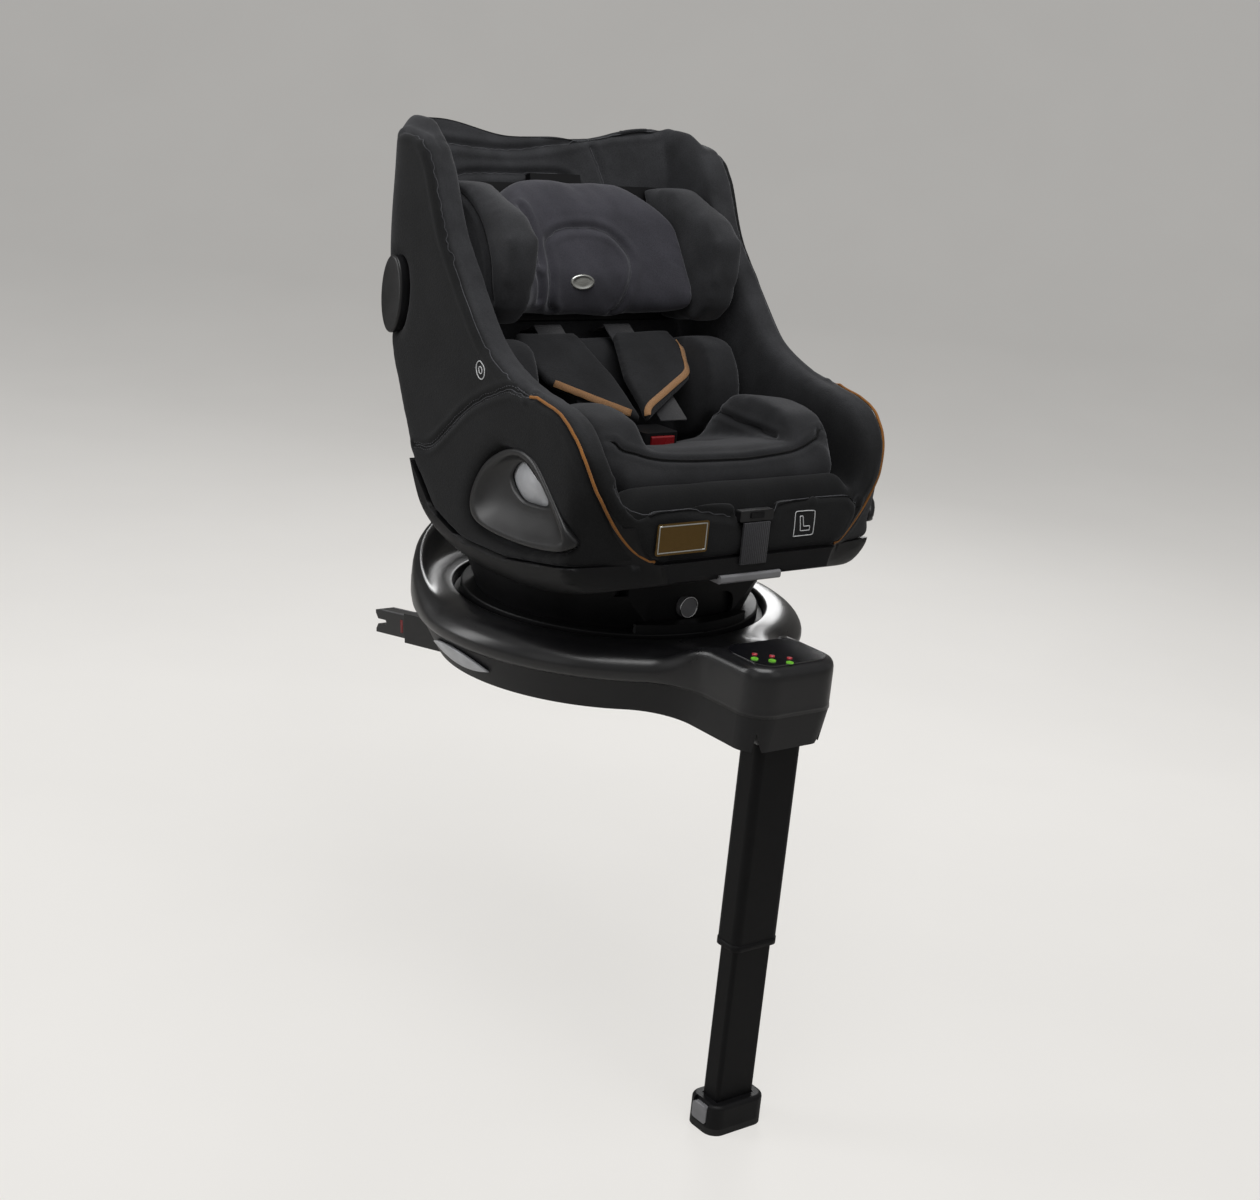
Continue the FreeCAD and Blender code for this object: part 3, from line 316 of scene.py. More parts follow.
def swept(name, line, sides, section, finish, closed=False):
    """Section of (across, out) offsets in metres carried along a line."""
    along = tangents(line, closed)
    across = np.cross(along, sides)
    across /= np.maximum(np.linalg.norm(across, axis=1, keepdims=True), 1e-9)
    out = np.cross(across, along)
    rows = len(line)
    count = len(section)
    vertices = [line[i] + across[i] * a + out[i] * b for i in range(rows) for a, b in section]
    faces = []
    for i in range(rows if closed else rows - 1):
        j = (i + 1) % rows
        for k in range(count):
            n = (k + 1) % count
            faces.append([i * count + k, j * count + k, j * count + n, i * count + n])
    if not closed:
        faces.append(list(range(count)))
        faces.append([(rows - 1) * count + k for k in range(count)][::-1])
    item = piece(name, vertices, faces, finish)
    outward(item)
    return item


def round_section(radius, count=10):
    """Circle of offsets."""
    turns = np.linspace(0, 2 * math.pi, count, endpoint=False)
    return [(radius * math.cos(t), radius * math.sin(t)) for t in turns]


def flat_section(width, thick, edge=0.0006):
    """Flat ribbon section with softened edges."""
    half = width / 2
    side = [(half, 0), (half, thick - edge), (half - edge, thick)]
    return [(-a, b) for a, b in side] + side[::-1] + [(half - edge, -edge), (edge - half, -edge)]


# ---------------------------------------------------------------- padded forms

def relax(item, rounds, factor=0.5, hold=None):
    """Even out a mesh by moving corners towards their neighbours."""
    if not rounds:
        return
    edges = np.zeros(len(item.data.edges) * 2, int)
    item.data.edges.foreach_get("vertices", edges)
    first, second = edges.reshape(-1, 2).T
    values = corners(item)
    count = len(values)
    share = np.bincount(first, minlength=count) + np.bincount(second, minlength=count)
    share = np.maximum(share, 1)[:, None]
    weight = factor if hold is None else factor * (1 - hold(values))[:, None]
    for _ in range(rounds):
        total = np.stack([np.bincount(first, values[second, axis], count)
                          + np.bincount(second, values[first, axis], count) for axis in range(3)], axis=1)
        values = values + (total / share - values) * weight
    move_corners(item, values)


def puff(item, pressure, cap, frames=14):
    """Blow the mesh up as cloth, and limit how far each corner goes."""
    before = corners(item)
    modifier = item.modifiers.new("Cloth", "CLOTH")
    cloth = modifier.settings
    cloth.quality = 4
    cloth.use_pressure = True
    cloth.uniform_pressure_force = pressure
    cloth.effector_weights.gravity = 0
    modifier.point_cache.frame_start = 1
    modifier.point_cache.frame_end = frames
    scene = bpy.context.scene
    for number in range(1, frames + 1):
        scene.frame_set(number)
    bake(item)
    scene.frame_set(1)
    moved = corners(item) - before
    reach = np.linalg.norm(moved, axis=1, keepdims=True)
    move_corners(item, before + moved * np.minimum(1, cap / np.maximum(reach, 1e-9)))


def padded_form(name, source, finish, voxel=None, rounds=6, pressure=0.0, cap=0.006, levels=1, after=2):
    """Soft closed form from a hard-edged source."""
    modifier = source.modifiers.new("Cells", "REMESH")
    modifier.mode = "VOXEL"
    modifier.voxel_size = voxel or sizes().voxel
    bake(source)
    relax(source, rounds)
    if pressure:
        puff(source, pressure, cap)
        relax(source, after)
    item = adopt(name, source.data, finish)
    bpy.data.objects.remove(source)
    finer(item, levels)
    return item


def channel(item, line, width=None, depth=None, lip=0.35):
    """Press a sewn channel into a soft form along a line."""
    width = width or sizes().seam_width
    depth = depth or sizes().seam_depth
    tree = KDTree(len(line))
    for number, point in enumerate(line):
        tree.insert(Vector(point), number)
    tree.balance()
    values = corners(item)
    normals = directions(item)
    low = np.min(line, axis=0) - width * 4
    high = np.max(line, axis=0) + width * 4
    near = np.nonzero(np.all((values > low) & (values < high), axis=1))[0]
    for index in near:
        gap = tree.find(Vector(values[index]))[2]
        if gap < width * 3.5:
            dip = math.exp(-(gap / width) ** 2) - lip * math.exp(-((gap - 2.1 * width) / width) ** 2)
            values[index] -= normals[index] * depth * dip
    move_corners(item, values)


STITCHES = {}
PIPES = {}


def seam(item, points, body, material="thread", offsets=(), depth=None, thread=True, width=None):
    """Sewn channel with its thread, and rows of stitches beside it."""
    line = smooth_line(points, 0.0025)
    tree = surface_of(item)
    line, _ = laid_on(tree, line)
    channel(item, line, depth=depth, width=width)
    tree = surface_of(item)
    laid, sides = laid_on(tree, line, -0.0001, 1)
    if thread:
        PIPES.setdefault((body, material), []).append((laid, sizes().thread))
    across = np.cross(tangents(laid), sides)
    for offset in offsets:
        row, _ = laid_on(tree, laid + across * offset, sizes().thread * 0.6, 1)
        STITCHES.setdefault((body, material), []).append(row)


def crumple(item, size, depth, seed=0.0, where=None):
    """Soft unevenness of stuffed fabric: gentle waves along the normals."""
    values = corners(item)
    normals = directions(item)
    x, y, z = (values / size).T
    wave = (np.sin(x * 1.7 + seed) * np.sin(y * 2.1 + 1.3 * seed) + np.sin(z * 1.9 - x * 0.8 + seed * 2.3)
            * np.cos(y * 1.3 + seed) + 0.5 * np.sin(x * 3.7 + z * 3.1 + seed * 1.7)) / 2.5
    amount = depth * wave if where is None else depth * wave * where(values)
    move_corners(item, values + normals * amount[:, None])


def settle(item, body, slot, *nodes):
    """Ride a finished piece on its body, with the nodes it stands for hidden; the slot is not used."""
    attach(item, body)
    if nodes:
        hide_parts(*nodes)
    return item


# ---------------------------------------------------------------- finishes

class Finish:
    """Material built from nodes on one surface shader."""

    def __init__(self, name, roughness, **fixed):
        self.material = bpy.data.materials.new(name)
        self.material.use_nodes = True
        self.tree = self.material.node_tree
        self.surface = self.tree.nodes["Principled BSDF"]
        self.surface.inputs["Roughness"].default_value = roughness
        for key, value in fixed.items():
            self.surface.inputs[key.replace("_", " ")].default_value = value
        self.where = self.add("TexCoord").outputs["Object"]
        self.height = None

    def add(self, kind, **settings):
        """New shader node with its settings."""
        node = self.tree.nodes.new(f"ShaderNode{kind}")
        for key, value in settings.items():
            setattr(node, key, value)
        return node

    def link(self, source, target):
        """Join two sockets."""
        self.tree.links.new(source, target)

    def stretched(self, factors):
        """Object coordinates scaled along each axis."""
        node = self.add("Mapping")
        self.link(self.where, node.inputs["Vector"])
        node.inputs["Scale"].default_value = factors
        return node.outputs["Vector"]

    def noise(self, scale, detail=3.0, where=None, roughness=0.5):
        """Noise value over the piece."""
        node = self.add("TexNoise")
        self.link(where or self.where, node.inputs["Vector"])
        node.inputs["Scale"].default_value = scale
        node.inputs["Detail"].default_value = detail
        node.inputs["Roughness"].default_value = roughness
        return node.outputs["Fac"]

    def cells(self, scale, where=None):
        """Rounded cells, as in a knit."""
        node = self.add("TexVoronoi")
        self.link(where or self.where, node.inputs["Vector"])
        node.inputs["Scale"].default_value = scale
        return node.outputs["Distance"]

    def bands(self, scale, axis, where=None):
        """Even waves along one axis."""
        node = self.add("TexWave", bands_direction=axis)
        self.link(where or self.where, node.inputs["Vector"])
        node.inputs["Scale"].default_value = scale
        node.inputs["Distortion"].default_value = 0.0
        return node.outputs["Fac"]

    def ramp(self, value, low, high, start=0.35, end=0.65):
        """Two colours mixed by a value."""
        node = self.add("ValToRGB")
        self.link(value, node.inputs["Fac"])
        node.color_ramp.elements[0].position = start
        node.color_ramp.elements[1].position = end
        node.color_ramp.elements[0].color = (*low, 1)
        node.color_ramp.elements[1].color = (*high, 1)
        return node.outputs["Color"]

    def blend(self, first, second, factor, mode="MIX"):
        """Mix two colours."""
        node = self.add("Mix", data_type="RGBA", blend_type=mode)
        for socket, value in ((node.inputs[0], factor), (node.inputs[6], first), (node.inputs[7], second)):
            if hasattr(value, "is_output"):
                self.link(value, socket)
            elif socket == node.inputs[0]:
                socket.default_value = value
            else:
                socket.default_value = (*value, 1)
        return node.outputs[2]

    def spread(self, value, low, high):
        """Value mapped from 0..1 to a range."""
        node = self.add("MapRange")
        self.link(value, node.inputs["Value"])
        node.inputs["To Min"].default_value = low
        node.inputs["To Max"].default_value = high
        return node.outputs["Result"]

    def bump(self, value, strength, distance):
        """Lay one more bump over the surface."""
        node = self.add("Bump")
        node.inputs["Strength"].default_value = strength
        node.inputs["Distance"].default_value = distance
        self.link(value, node.inputs["Height"])
        if self.height:
            self.link(self.height, node.inputs["Normal"])
        self.height = node.outputs["Normal"]
        self.link(self.height, self.surface.inputs["Normal"])

    def paint(self, value):
        """Colour of the surface."""
        self.link(value, self.surface.inputs["Base Color"])

    def dullness(self, value):
        """Roughness of the surface."""
        self.link(value, self.surface.inputs["Roughness"])


def times(tint, factor):
    """Colour made lighter or darker."""
    return tuple(min(1.0, channel_value * factor) for channel_value in tint)


def knit(name, tint, cell=820.0, sheen=0.22, contrast=0.3, band_tint=None):
    """Knit cover with fine loops, fuzz and soft mottling; a band tint follows the 'band' attribute."""
    made = Finish(name, 0.88, Sheen_Weight=sheen, Sheen_Roughness=0.45, Specular_IOR_Level=0.25)
    made.surface.inputs["Sheen Tint"].default_value = (0.75, 0.76, 0.80, 1)
    mottle = made.noise(26.0, 5.0)
    loops = made.cells(cell)
    fuzz = made.noise(430.0, 3.0)
    ground = made.ramp(mottle, times(tint, 1 - contrast), times(tint, 1 + contrast), 0.3, 0.7)
    if band_tint is not None:
        other = made.ramp(mottle, times(band_tint, 1 - contrast), times(band_tint, 1 + contrast), 0.3, 0.7)
        mask = made.add("Attribute", attribute_name="band").outputs["Fac"]
        ground = made.blend(ground, other, mask)
    shade = made.ramp(loops, (1.25, 1.25, 1.25), (0.55, 0.55, 0.55), 0.0, 0.75)
    made.paint(made.blend(ground, shade, 0.55, "MULTIPLY"))
    made.bump(loops, 0.35, -0.0005)
    made.bump(fuzz, 0.25, 0.0006)
    made.dullness(made.spread(fuzz, 0.78, 0.95))
    return made.material


def moulded(name, tint, roughness=0.42, grain=1500.0, strength=0.18, coat=0.0, contrast=0.12, shine=0.5):
    """Moulded plastic with a fine grain and slight handling marks."""
    made = Finish(name, roughness, Coat_Weight=coat, Coat_Roughness=0.18, Specular_IOR_Level=shine)
    fine = made.noise(grain, 2.0)
    marks = made.noise(38.0, 6.0)
    made.paint(made.ramp(marks, times(tint, 1 - contrast), times(tint, 1 + contrast)))
    made.bump(fine, strength, 0.0004)
    made.dullness(made.spread(marks, roughness - 0.07, roughness + 0.07))
    return made.material


def metal(name, tint, roughness=0.32, brush=(1.0, 60.0, 60.0)):
    """Brushed metal with a grain along X."""
    made = Finish(name, roughness, Metallic=1.0)
    grain = made.noise(260.0, 3.0, made.stretched(brush))
    made.paint(made.ramp(grain, times(tint, 0.8), times(tint, 1.15)))
    made.bump(grain, 0.12, 0.0003)
    made.dullness(made.spread(grain, roughness - 0.06, roughness + 0.1))
    return made.material


def webbing(name, tint, rib=330.0, axis="X"):
    """Woven polyester belt with ribs along its run and a cross weave."""
    made = Finish(name, 0.6, Sheen_Weight=0.15, Sheen_Roughness=0.4)
    ribs = made.bands(rib, axis)
    cross = made.cells(900.0)
    tone = made.ramp(ribs, times(tint, 0.6), times(tint, 1.3), 0.1, 0.9)
    made.paint(made.blend(tone, made.ramp(cross, (1.2, 1.2, 1.2), (0.6, 0.6, 0.6), 0, 0.8), 0.5, "MULTIPLY"))
    made.bump(ribs, 0.5, 0.0008)
    made.bump(cross, 0.3, -0.0004)
    made.dullness(made.spread(cross, 0.5, 0.72))
    return made.material


def lens(name, tint, glow):
    """Lit indicator lens."""
    made = Finish(name, 0.15, Coat_Weight=0.6, Emission_Strength=glow)
    core = made.noise(300.0, 2.0)
    glowing = made.ramp(core, times(tint, 0.7), tint)
    made.paint(glowing)
    made.link(glowing, made.surface.inputs["Emission Color"])
    made.bump(core, 0.1, 0.0002)
    return made.material


FINISHES = {}


def finish(name):
    """Finish by name, made once."""
    tints = colours()
    makers = {
        "cover": lambda: knit("cover_knit", tints.cover, sheen=0.13, band_tint=tuple(tints.wing)),
        "wing": lambda: knit("wing_knit", tints.wing),
        "insert": lambda: knit("insert_jersey", tints.insert, cell=980.0, sheen=0.28),
        "head": lambda: knit("head_jersey", tints.head, cell=1050.0, sheen=0.30, contrast=0.16),
        "pad": lambda: knit("pad_knit", times(tints.insert, 0.85), cell=700.0, sheen=0.18),
        "piping": lambda: knit("copper_piping", tints.piping, cell=1500.0, sheen=0.2, contrast=0.2),
        "band": lambda: webbing("tan_ribbon", tints.band, rib=420.0, axis="DIAGONAL"),
        "thread": lambda: knit("dark_thread", times(tints.cover, 0.45), cell=2500.0, sheen=0.05),
        "grey_thread": lambda: knit("grey_thread", times(tints.wing, 2.6), cell=2500.0, sheen=0.2),
        "print": lambda: moulded("pale_print", (0.62, 0.63, 0.64), 0.55, 2200.0, 0.2),
        "badge": lambda: metal("pearl_badge", (0.62, 0.63, 0.60), 0.28),
        "plate": lambda: metal("bronze_plate", tints.plate, 0.30),
        "shell": lambda: moulded("shell_moulding", times(tints.moulding, 0.8), 0.46, 1300.0, 0.25, shine=0.2),
        "dish": lambda: moulded("handle_moulding", times(tints.moulding, 1.15), 0.34, 1600.0, 0.10),
        "base": lambda: moulded("base_moulding", tints.base, 0.30, 1500.0, 0.16, coat=0.25),
        "skirt": lambda: moulded("skirt_moulding", tints.base, 0.44, 1500.0, 0.22, shine=0.35),
        "dark": lambda: moulded("hidden_moulding", times(tints.moulding, 0.6), 0.5, 1200.0, 0.3),
        "gloss": lambda: moulded("indicator_gloss", (0.006, 0.006, 0.008), 0.12, 1800.0, 0.03, coat=1.0),
        "leg": lambda: moulded("leg_coat", (0.0045, 0.0045, 0.0050), 0.44, 2200.0, 0.30, shine=0.16),
        "arm": lambda: moulded("arm_coat", (0.0120, 0.0120, 0.0130), 0.36, 1900.0, 0.25),
        "steel": lambda: metal("plain_steel", (0.42, 0.42, 0.43), 0.35),
        "chrome": lambda: metal("button_ring", (0.60, 0.60, 0.61), 0.24),
        "rubber": lambda: moulded("sole_rubber", (0.012, 0.012, 0.012), 0.75, 900.0, 0.5),
        "pale": lambda: moulded("pale_moulding", tints.pale, 0.38, 1700.0, 0.12),
        "grey": lambda: moulded("grey_moulding", tints.grey, 0.40, 1700.0, 0.15),
        "red": lambda: moulded("red_button", (0.20, 0.006, 0.009), 0.26, 1700.0, 0.08, coat=0.4),
        "red_window": lambda: moulded("red_window", (0.20, 0.010, 0.012), 0.4, 1700.0, 0.08),
        "green_light": lambda: lens("green_light", (0.16, 0.50, 0.04), 0.35),
        "red_light": lambda: lens("red_light", (0.45, 0.02, 0.03), 0.25),
        "webbing": lambda: webbing("harness_webbing", (0.022, 0.022, 0.025), rib=300.0),
        "adjuster": lambda: webbing("adjuster_webbing", (0.028, 0.028, 0.033), rib=120.0),
    }
    if name not in FINISHES:
        FINISHES[name] = makers[name]()
    return FINISHES[name]


def refinish(node, name):
    """Give a CAD node a finish; its mesh stays as it is."""
    item = NODES[node]
    if not item.material_slots:
        item.data.materials.append(finish(name))
    for slot in item.material_slots:
        slot.material = finish(name)


# ---------------------------------------------------------------- node trees for what repeats

def new_tree(name, inputs):
    """Geometry node tree with named inputs; returns the tree and its ends."""
    tree = bpy.data.node_groups.new(name, "GeometryNodeTree")
    tree.interface.new_socket("Geometry", in_out="INPUT", socket_type="NodeSocketGeometry")
    tree.interface.new_socket("Geometry", in_out="OUTPUT", socket_type="NodeSocketGeometry")
    for label, kind, default in inputs:
        socket = tree.interface.new_socket(label, in_out="INPUT", socket_type=f"NodeSocket{kind}")
        if default is not None:
            socket.default_value = default
    return tree, tree.nodes.new("NodeGroupInput"), tree.nodes.new("NodeGroupOutput")


def chain(tree, *sockets):
    """Link pairs of sockets."""
    for source, target in zip(sockets[::2], sockets[1::2]):
        tree.links.new(source, target)


def ending(tree, source, inside, outside):
    """Realise, smooth and paint the result."""
    real = tree.nodes.new("GeometryNodeRealizeInstances")
    soft = tree.nodes.new("GeometryNodeSetShadeSmooth")
    painted = tree.nodes.new("GeometryNodeSetMaterial")
    chain(tree, source, real.inputs["Geometry"], real.outputs["Geometry"], soft.inputs["Geometry"],
          soft.outputs["Geometry"], painted.inputs["Geometry"], inside.outputs["Material"],
          painted.inputs["Material"], painted.outputs["Geometry"], outside.inputs["Geometry"])


def stitch_tree():
    """Short rounded stitches along every edge line."""
    inputs = [("Length", "Float", 0.003), ("Pitch", "Float", 0.0042), ("Thread", "Float", 0.0004),
              ("Material", "Material", None)]
    tree, inside, outside = new_tree("Stitches", inputs)
    curve = tree.nodes.new("GeometryNodeMeshToCurve")
    spots = tree.nodes.new("GeometryNodeCurveToPoints")
    spots.mode = "LENGTH"
    ball = tree.nodes.new("GeometryNodeMeshUVSphere")
    ball.inputs["Segments"].default_value = 6
    ball.inputs["Rings"].default_value = 5
    ball.inputs["Radius"].default_value = 1.0
    half = tree.nodes.new("ShaderNodeMath")
    half.operation = "MULTIPLY"
    half.inputs[1].default_value = 0.5
    shape = tree.nodes.new("ShaderNodeCombineXYZ")
    placed = tree.nodes.new("GeometryNodeInstanceOnPoints")
    given, spot, put = inside.outputs, spots.outputs, placed.inputs
    chain(tree, given["Geometry"], curve.inputs["Mesh"], curve.outputs["Curve"], spots.inputs["Curve"],
          given["Pitch"], spots.inputs["Length"], given["Length"], half.inputs[0],
          given["Thread"], shape.inputs["X"], given["Thread"], shape.inputs["Y"], half.outputs[0],
          shape.inputs["Z"], spot["Points"], put["Points"], ball.outputs["Mesh"], put["Instance"],
          spot["Rotation"], put["Rotation"], shape.outputs["Vector"], put["Scale"])
    ending(tree, placed.outputs["Instances"], inside, outside)
    return tree


def piping_tree():
    """Round cord along every edge line."""
    tree, inside, outside = new_tree("Piping", [("Radius", "Float", 0.0017), ("Material", "Material", None)])
    curve = tree.nodes.new("GeometryNodeMeshToCurve")
    ring = tree.nodes.new("GeometryNodeCurvePrimitiveCircle")
    ring.inputs["Resolution"].default_value = 8
    tube = tree.nodes.new("GeometryNodeCurveToMesh")
    tube.inputs["Fill Caps"].default_value = True
    given = inside.outputs
    chain(tree, given["Geometry"], curve.inputs["Mesh"], given["Radius"], ring.inputs["Radius"],
          curve.outputs["Curve"], tube.inputs["Curve"], ring.outputs["Curve"], tube.inputs["Profile Curve"])
    ending(tree, tube.outputs["Mesh"], inside, outside)
    return tree


def screw_tree():
    """Recessed screw heads on points, facing along the 'facing' attribute."""
    tree, inside, outside = new_tree("Screws", [("Radius", "Float", 0.0035), ("Height", "Float", 0.0016),
                                                ("Material", "Material", None)])
    cloud = tree.nodes.new("GeometryNodeMeshToPoints")
    head = tree.nodes.new("GeometryNodeMeshCone")
    head.inputs["Vertices"].default_value = 18
    rim = tree.nodes.new("ShaderNodeMath")
    rim.operation = "MULTIPLY"
    rim.inputs[1].default_value = 0.72
    facing = tree.nodes.new("GeometryNodeInputNamedAttribute")
    facing.data_type = "FLOAT_VECTOR"
    facing.inputs["Name"].default_value = "facing"
    turned = tree.nodes.new("FunctionNodeAlignRotationToVector")
    placed = tree.nodes.new("GeometryNodeInstanceOnPoints")
    given, put = inside.outputs, placed.inputs
    chain(tree, given["Geometry"], cloud.inputs["Mesh"], cloud.outputs["Points"], put["Points"],
          given["Radius"], head.inputs["Radius Bottom"], given["Radius"], rim.inputs[0],
          rim.outputs[0], head.inputs["Radius Top"], given["Height"], head.inputs["Depth"],
          head.outputs["Mesh"], put["Instance"], facing.outputs["Attribute"], turned.inputs["Vector"],
          turned.outputs["Rotation"], put["Rotation"])
    ending(tree, placed.outputs["Instances"], inside, outside)
    return tree


TREES = {}


def grown(name, tree_maker, mesh, **values):
    """Run a node tree on a mesh and keep the result as a plain piece."""
    if tree_maker not in TREES:
        TREES[tree_maker] = tree_maker()
    tree = TREES[tree_maker]
    item = bpy.data.objects.new(name, mesh)
    bpy.context.scene.collection.objects.link(item)
    modifier = item.modifiers.new("Pattern", "NODES")
    modifier.node_group = tree
    for socket in tree.interface.items_tree:
        if socket.in_out == "INPUT" and socket.name in values:
            modifier[socket.identifier] = values[socket.name]
    bake(item)
    return item


def edge_lines(name, lines):
    """Mesh of loose edges from several lines."""
    vertices, edges = [], []
    for line in lines:
        start = len(vertices)
        vertices += [tuple(point) for point in line]
        edges += [(start + i, start + i + 1) for i in range(len(line) - 1)]
    mesh = bpy.data.meshes.new(name)
    mesh.from_pydata(vertices, edges, [])
    return mesh


def screws(name, spots, body, material="steel", radius=0.0035):
    """Screw heads at (place, direction) pairs."""
    mesh = bpy.data.meshes.new(name)
    mesh.from_pydata([tuple(spot) for spot, _ in spots], [], [])
    facing = mesh.attributes.new("facing", "FLOAT_VECTOR", "POINT")
    facing.data.foreach_set("vector", [value for _, way in spots for value in way])
    item = grown(name, screw_tree, mesh, Radius=radius, Material=finish(material))
    settle(item, body, "hidden_steel")
    return item


# ---------------------------------------------------------------- studio

VIEW_AZIMUTH = math.radians(37.5)
VIEW_ELEVATION = math.radians(16.2)
VIEW_ROLL = math.radians(5.5)
VIEW_DISTANCE = 2.3
AIM_SIDE = 0.0105
AIM_DOWN = 0.0055
FLOOR_LEVEL = -0.463


class SEAT_OT_stage(bpy.types.Operator):
    """Make the camera, the softboxes and the pale sweep"""
    bl_idname = "seat.stage"
    bl_label = "Studio"

    def execute(self, context):
        scene = context.scene
        settings = scene.seat_stage
        scene.view_settings.view_transform = "Standard"
        self.camera(scene)
        self.lights(scene, settings)
        self.sweep(settings)
        return {"FINISHED"}

    def camera(self, scene):
        """Camera at the height and side of a buyer looking at the seat."""
        back = np.array([-math.sin(VIEW_AZIMUTH) * math.cos(VIEW_ELEVATION),
                         -math.cos(VIEW_AZIMUTH) * math.cos(VIEW_ELEVATION), math.sin(VIEW_ELEVATION)])
        level = np.array([math.cos(VIEW_AZIMUTH), -math.sin(VIEW_AZIMUTH), 0])
        upright = np.cross(back, level)
        right = level * math.cos(VIEW_ROLL) + upright * math.sin(VIEW_ROLL)
        up = upright * math.cos(VIEW_ROLL) - level * math.sin(VIEW_ROLL)
        forward = -back + AIM_SIDE * right - AIM_DOWN * up
        forward /= np.linalg.norm(forward)
        right -= forward * right.dot(forward)
        right /= np.linalg.norm(right)
        up = np.cross(right, forward)
        data = bpy.data.cameras.new("Camera")
        data.sensor_width = 36
        data.lens = 55.79
        camera = bpy.data.objects.new("Camera", data)
        turn = Matrix((right, up, -forward)).transposed().to_4x4()
        camera.matrix_world = Matrix.Translation(Vector(back * VIEW_DISTANCE) + Vector((0, 0, 0.078))) @ turn
        scene.collection.objects.link(camera)
        scene.camera = camera

    def lights(self, scene, settings):
        """Overhead, rear and front softboxes, and a plain world."""
        boxes = [("overhead", settings.key, (-0.35, -0.75, 2.3), (1.8, 1.8), (0, 0.05, 0.3)),
                 ("rear_left", settings.rim, (-2.1, 1.3, 1.0), (0.9, 1.8), (-0.1, 0, 0.2)),
                 ("rear_right", settings.rim * 1.25, (1.7, 1.7, 1.3), (0.8, 1.8), (0.1, 0, 0.3)),
                 ("front", settings.fill, (0.6, -2.4, 1.3), (1.6, 1.6), (0, 0, 0.25)),
                 ("side", settings.fill * 0.8, (-2.4, -1.0, 0.9), (1.2, 1.8), (0, 0, 0.2))]
        for name, power, spot, (wide, tall), aim in boxes:
            data = bpy.data.lights.new(name, "AREA")
            data.shape = "RECTANGLE"
            data.size = wide
            data.size_y = tall
            data.energy = power
            lamp = bpy.data.objects.new(name, data)
            lamp.location = spot
            lamp.rotation_euler = (Vector(aim) - Vector(spot)).to_track_quat("-Z", "Y").to_euler()
            scene.collection.objects.link(lamp)
        world = bpy.data.worlds.new("Studio")
        scene.world = world
        world.use_nodes = True
        world.node_tree.nodes["Background"].inputs["Color"].default_value = (0.86, 0.85, 0.84, 1)
        world.node_tree.nodes["Background"].inputs["Strength"].default_value = 0.33

    def sweep(self, settings):
        """Floor that curves up far behind the seat."""
        made = Finish("studio_paper", 0.9)
        tree, surface = made.tree, made.surface
        away = made.add("VectorMath", operation="DOT_PRODUCT")
        made.link(made.where, away.inputs[0])
        away.inputs[1].default_value = (math.sin(VIEW_AZIMUTH), math.cos(VIEW_AZIMUTH), 0.25)
        depth = made.add("MapRange")
        made.link(away.outputs["Value"], depth.inputs["Value"])
        depth.inputs["From Min"].default_value = 0.9
        depth.inputs["From Max"].default_value = 4.5
        near = tuple(settings.floor)
        shade = made.ramp(depth.outputs["Result"], near, times(near, 0.60), 0.0, 1.0)
        paper = made.blend(shade, made.ramp(made.noise(3.0), (0.985,) * 3, (1.0,) * 3), 1.0, "MULTIPLY")
        made.paint(made.blend((0, 0, 0), paper, 0.30))
        glow = made.add("Emission")
        made.link(paper, glow.inputs["Color"])
        glow.inputs["Strength"].default_value = 0.85
        both = made.add("AddShader")
        made.link(surface.outputs["BSDF"], both.inputs[0])
        made.link(glow.outputs["Emission"], both.inputs[1])
        seen = made.add("LightPath")
        plain = made.add("BsdfDiffuse")
        plain.inputs["Color"].default_value = (*times(near, 0.7), 1)
        choice = made.add("MixShader")
        made.link(seen.outputs["Is Camera Ray"], choice.inputs["Fac"])
        made.link(plain.outputs["BSDF"], choice.inputs[1])
        made.link(both.outputs["Shader"], choice.inputs[2])
        made.link(choice.outputs["Shader"], tree.nodes["Material Output"].inputs["Surface"])
        run = [(-9.0, 0.0), (3.5, 0.0)]
        run += [(3.5 + 2.5 * math.sin(t), 2.5 - 2.5 * math.cos(t)) for t in np.linspace(0.1, math.pi / 2, 14)]
        run.append((6.0, 9.0))
        away_x, away_y = math.sin(VIEW_AZIMUTH), math.cos(VIEW_AZIMUTH)
        vertices = []
        for reach, rise in run:
            for side in (-9.0, 9.0):
                vertices.append((reach * away_x + side * away_y, reach * away_y - side * away_x,
                                 FLOOR_LEVEL + rise))
        faces = [[2 * i, 2 * i + 1, 2 * i + 3, 2 * i + 2] for i in range(len(run) - 1)]
        piece("studio_sweep", vertices, faces, made.material)


# ---------------------------------------------------------------- base

CONSOLE_HALF = 60
CONSOLE_FRONT = 345
CONSOLE_CORNER = 30
CONSOLE_BLEND = 80
SEAM_RADIUS = 220
CONSOLE_RISE = 17


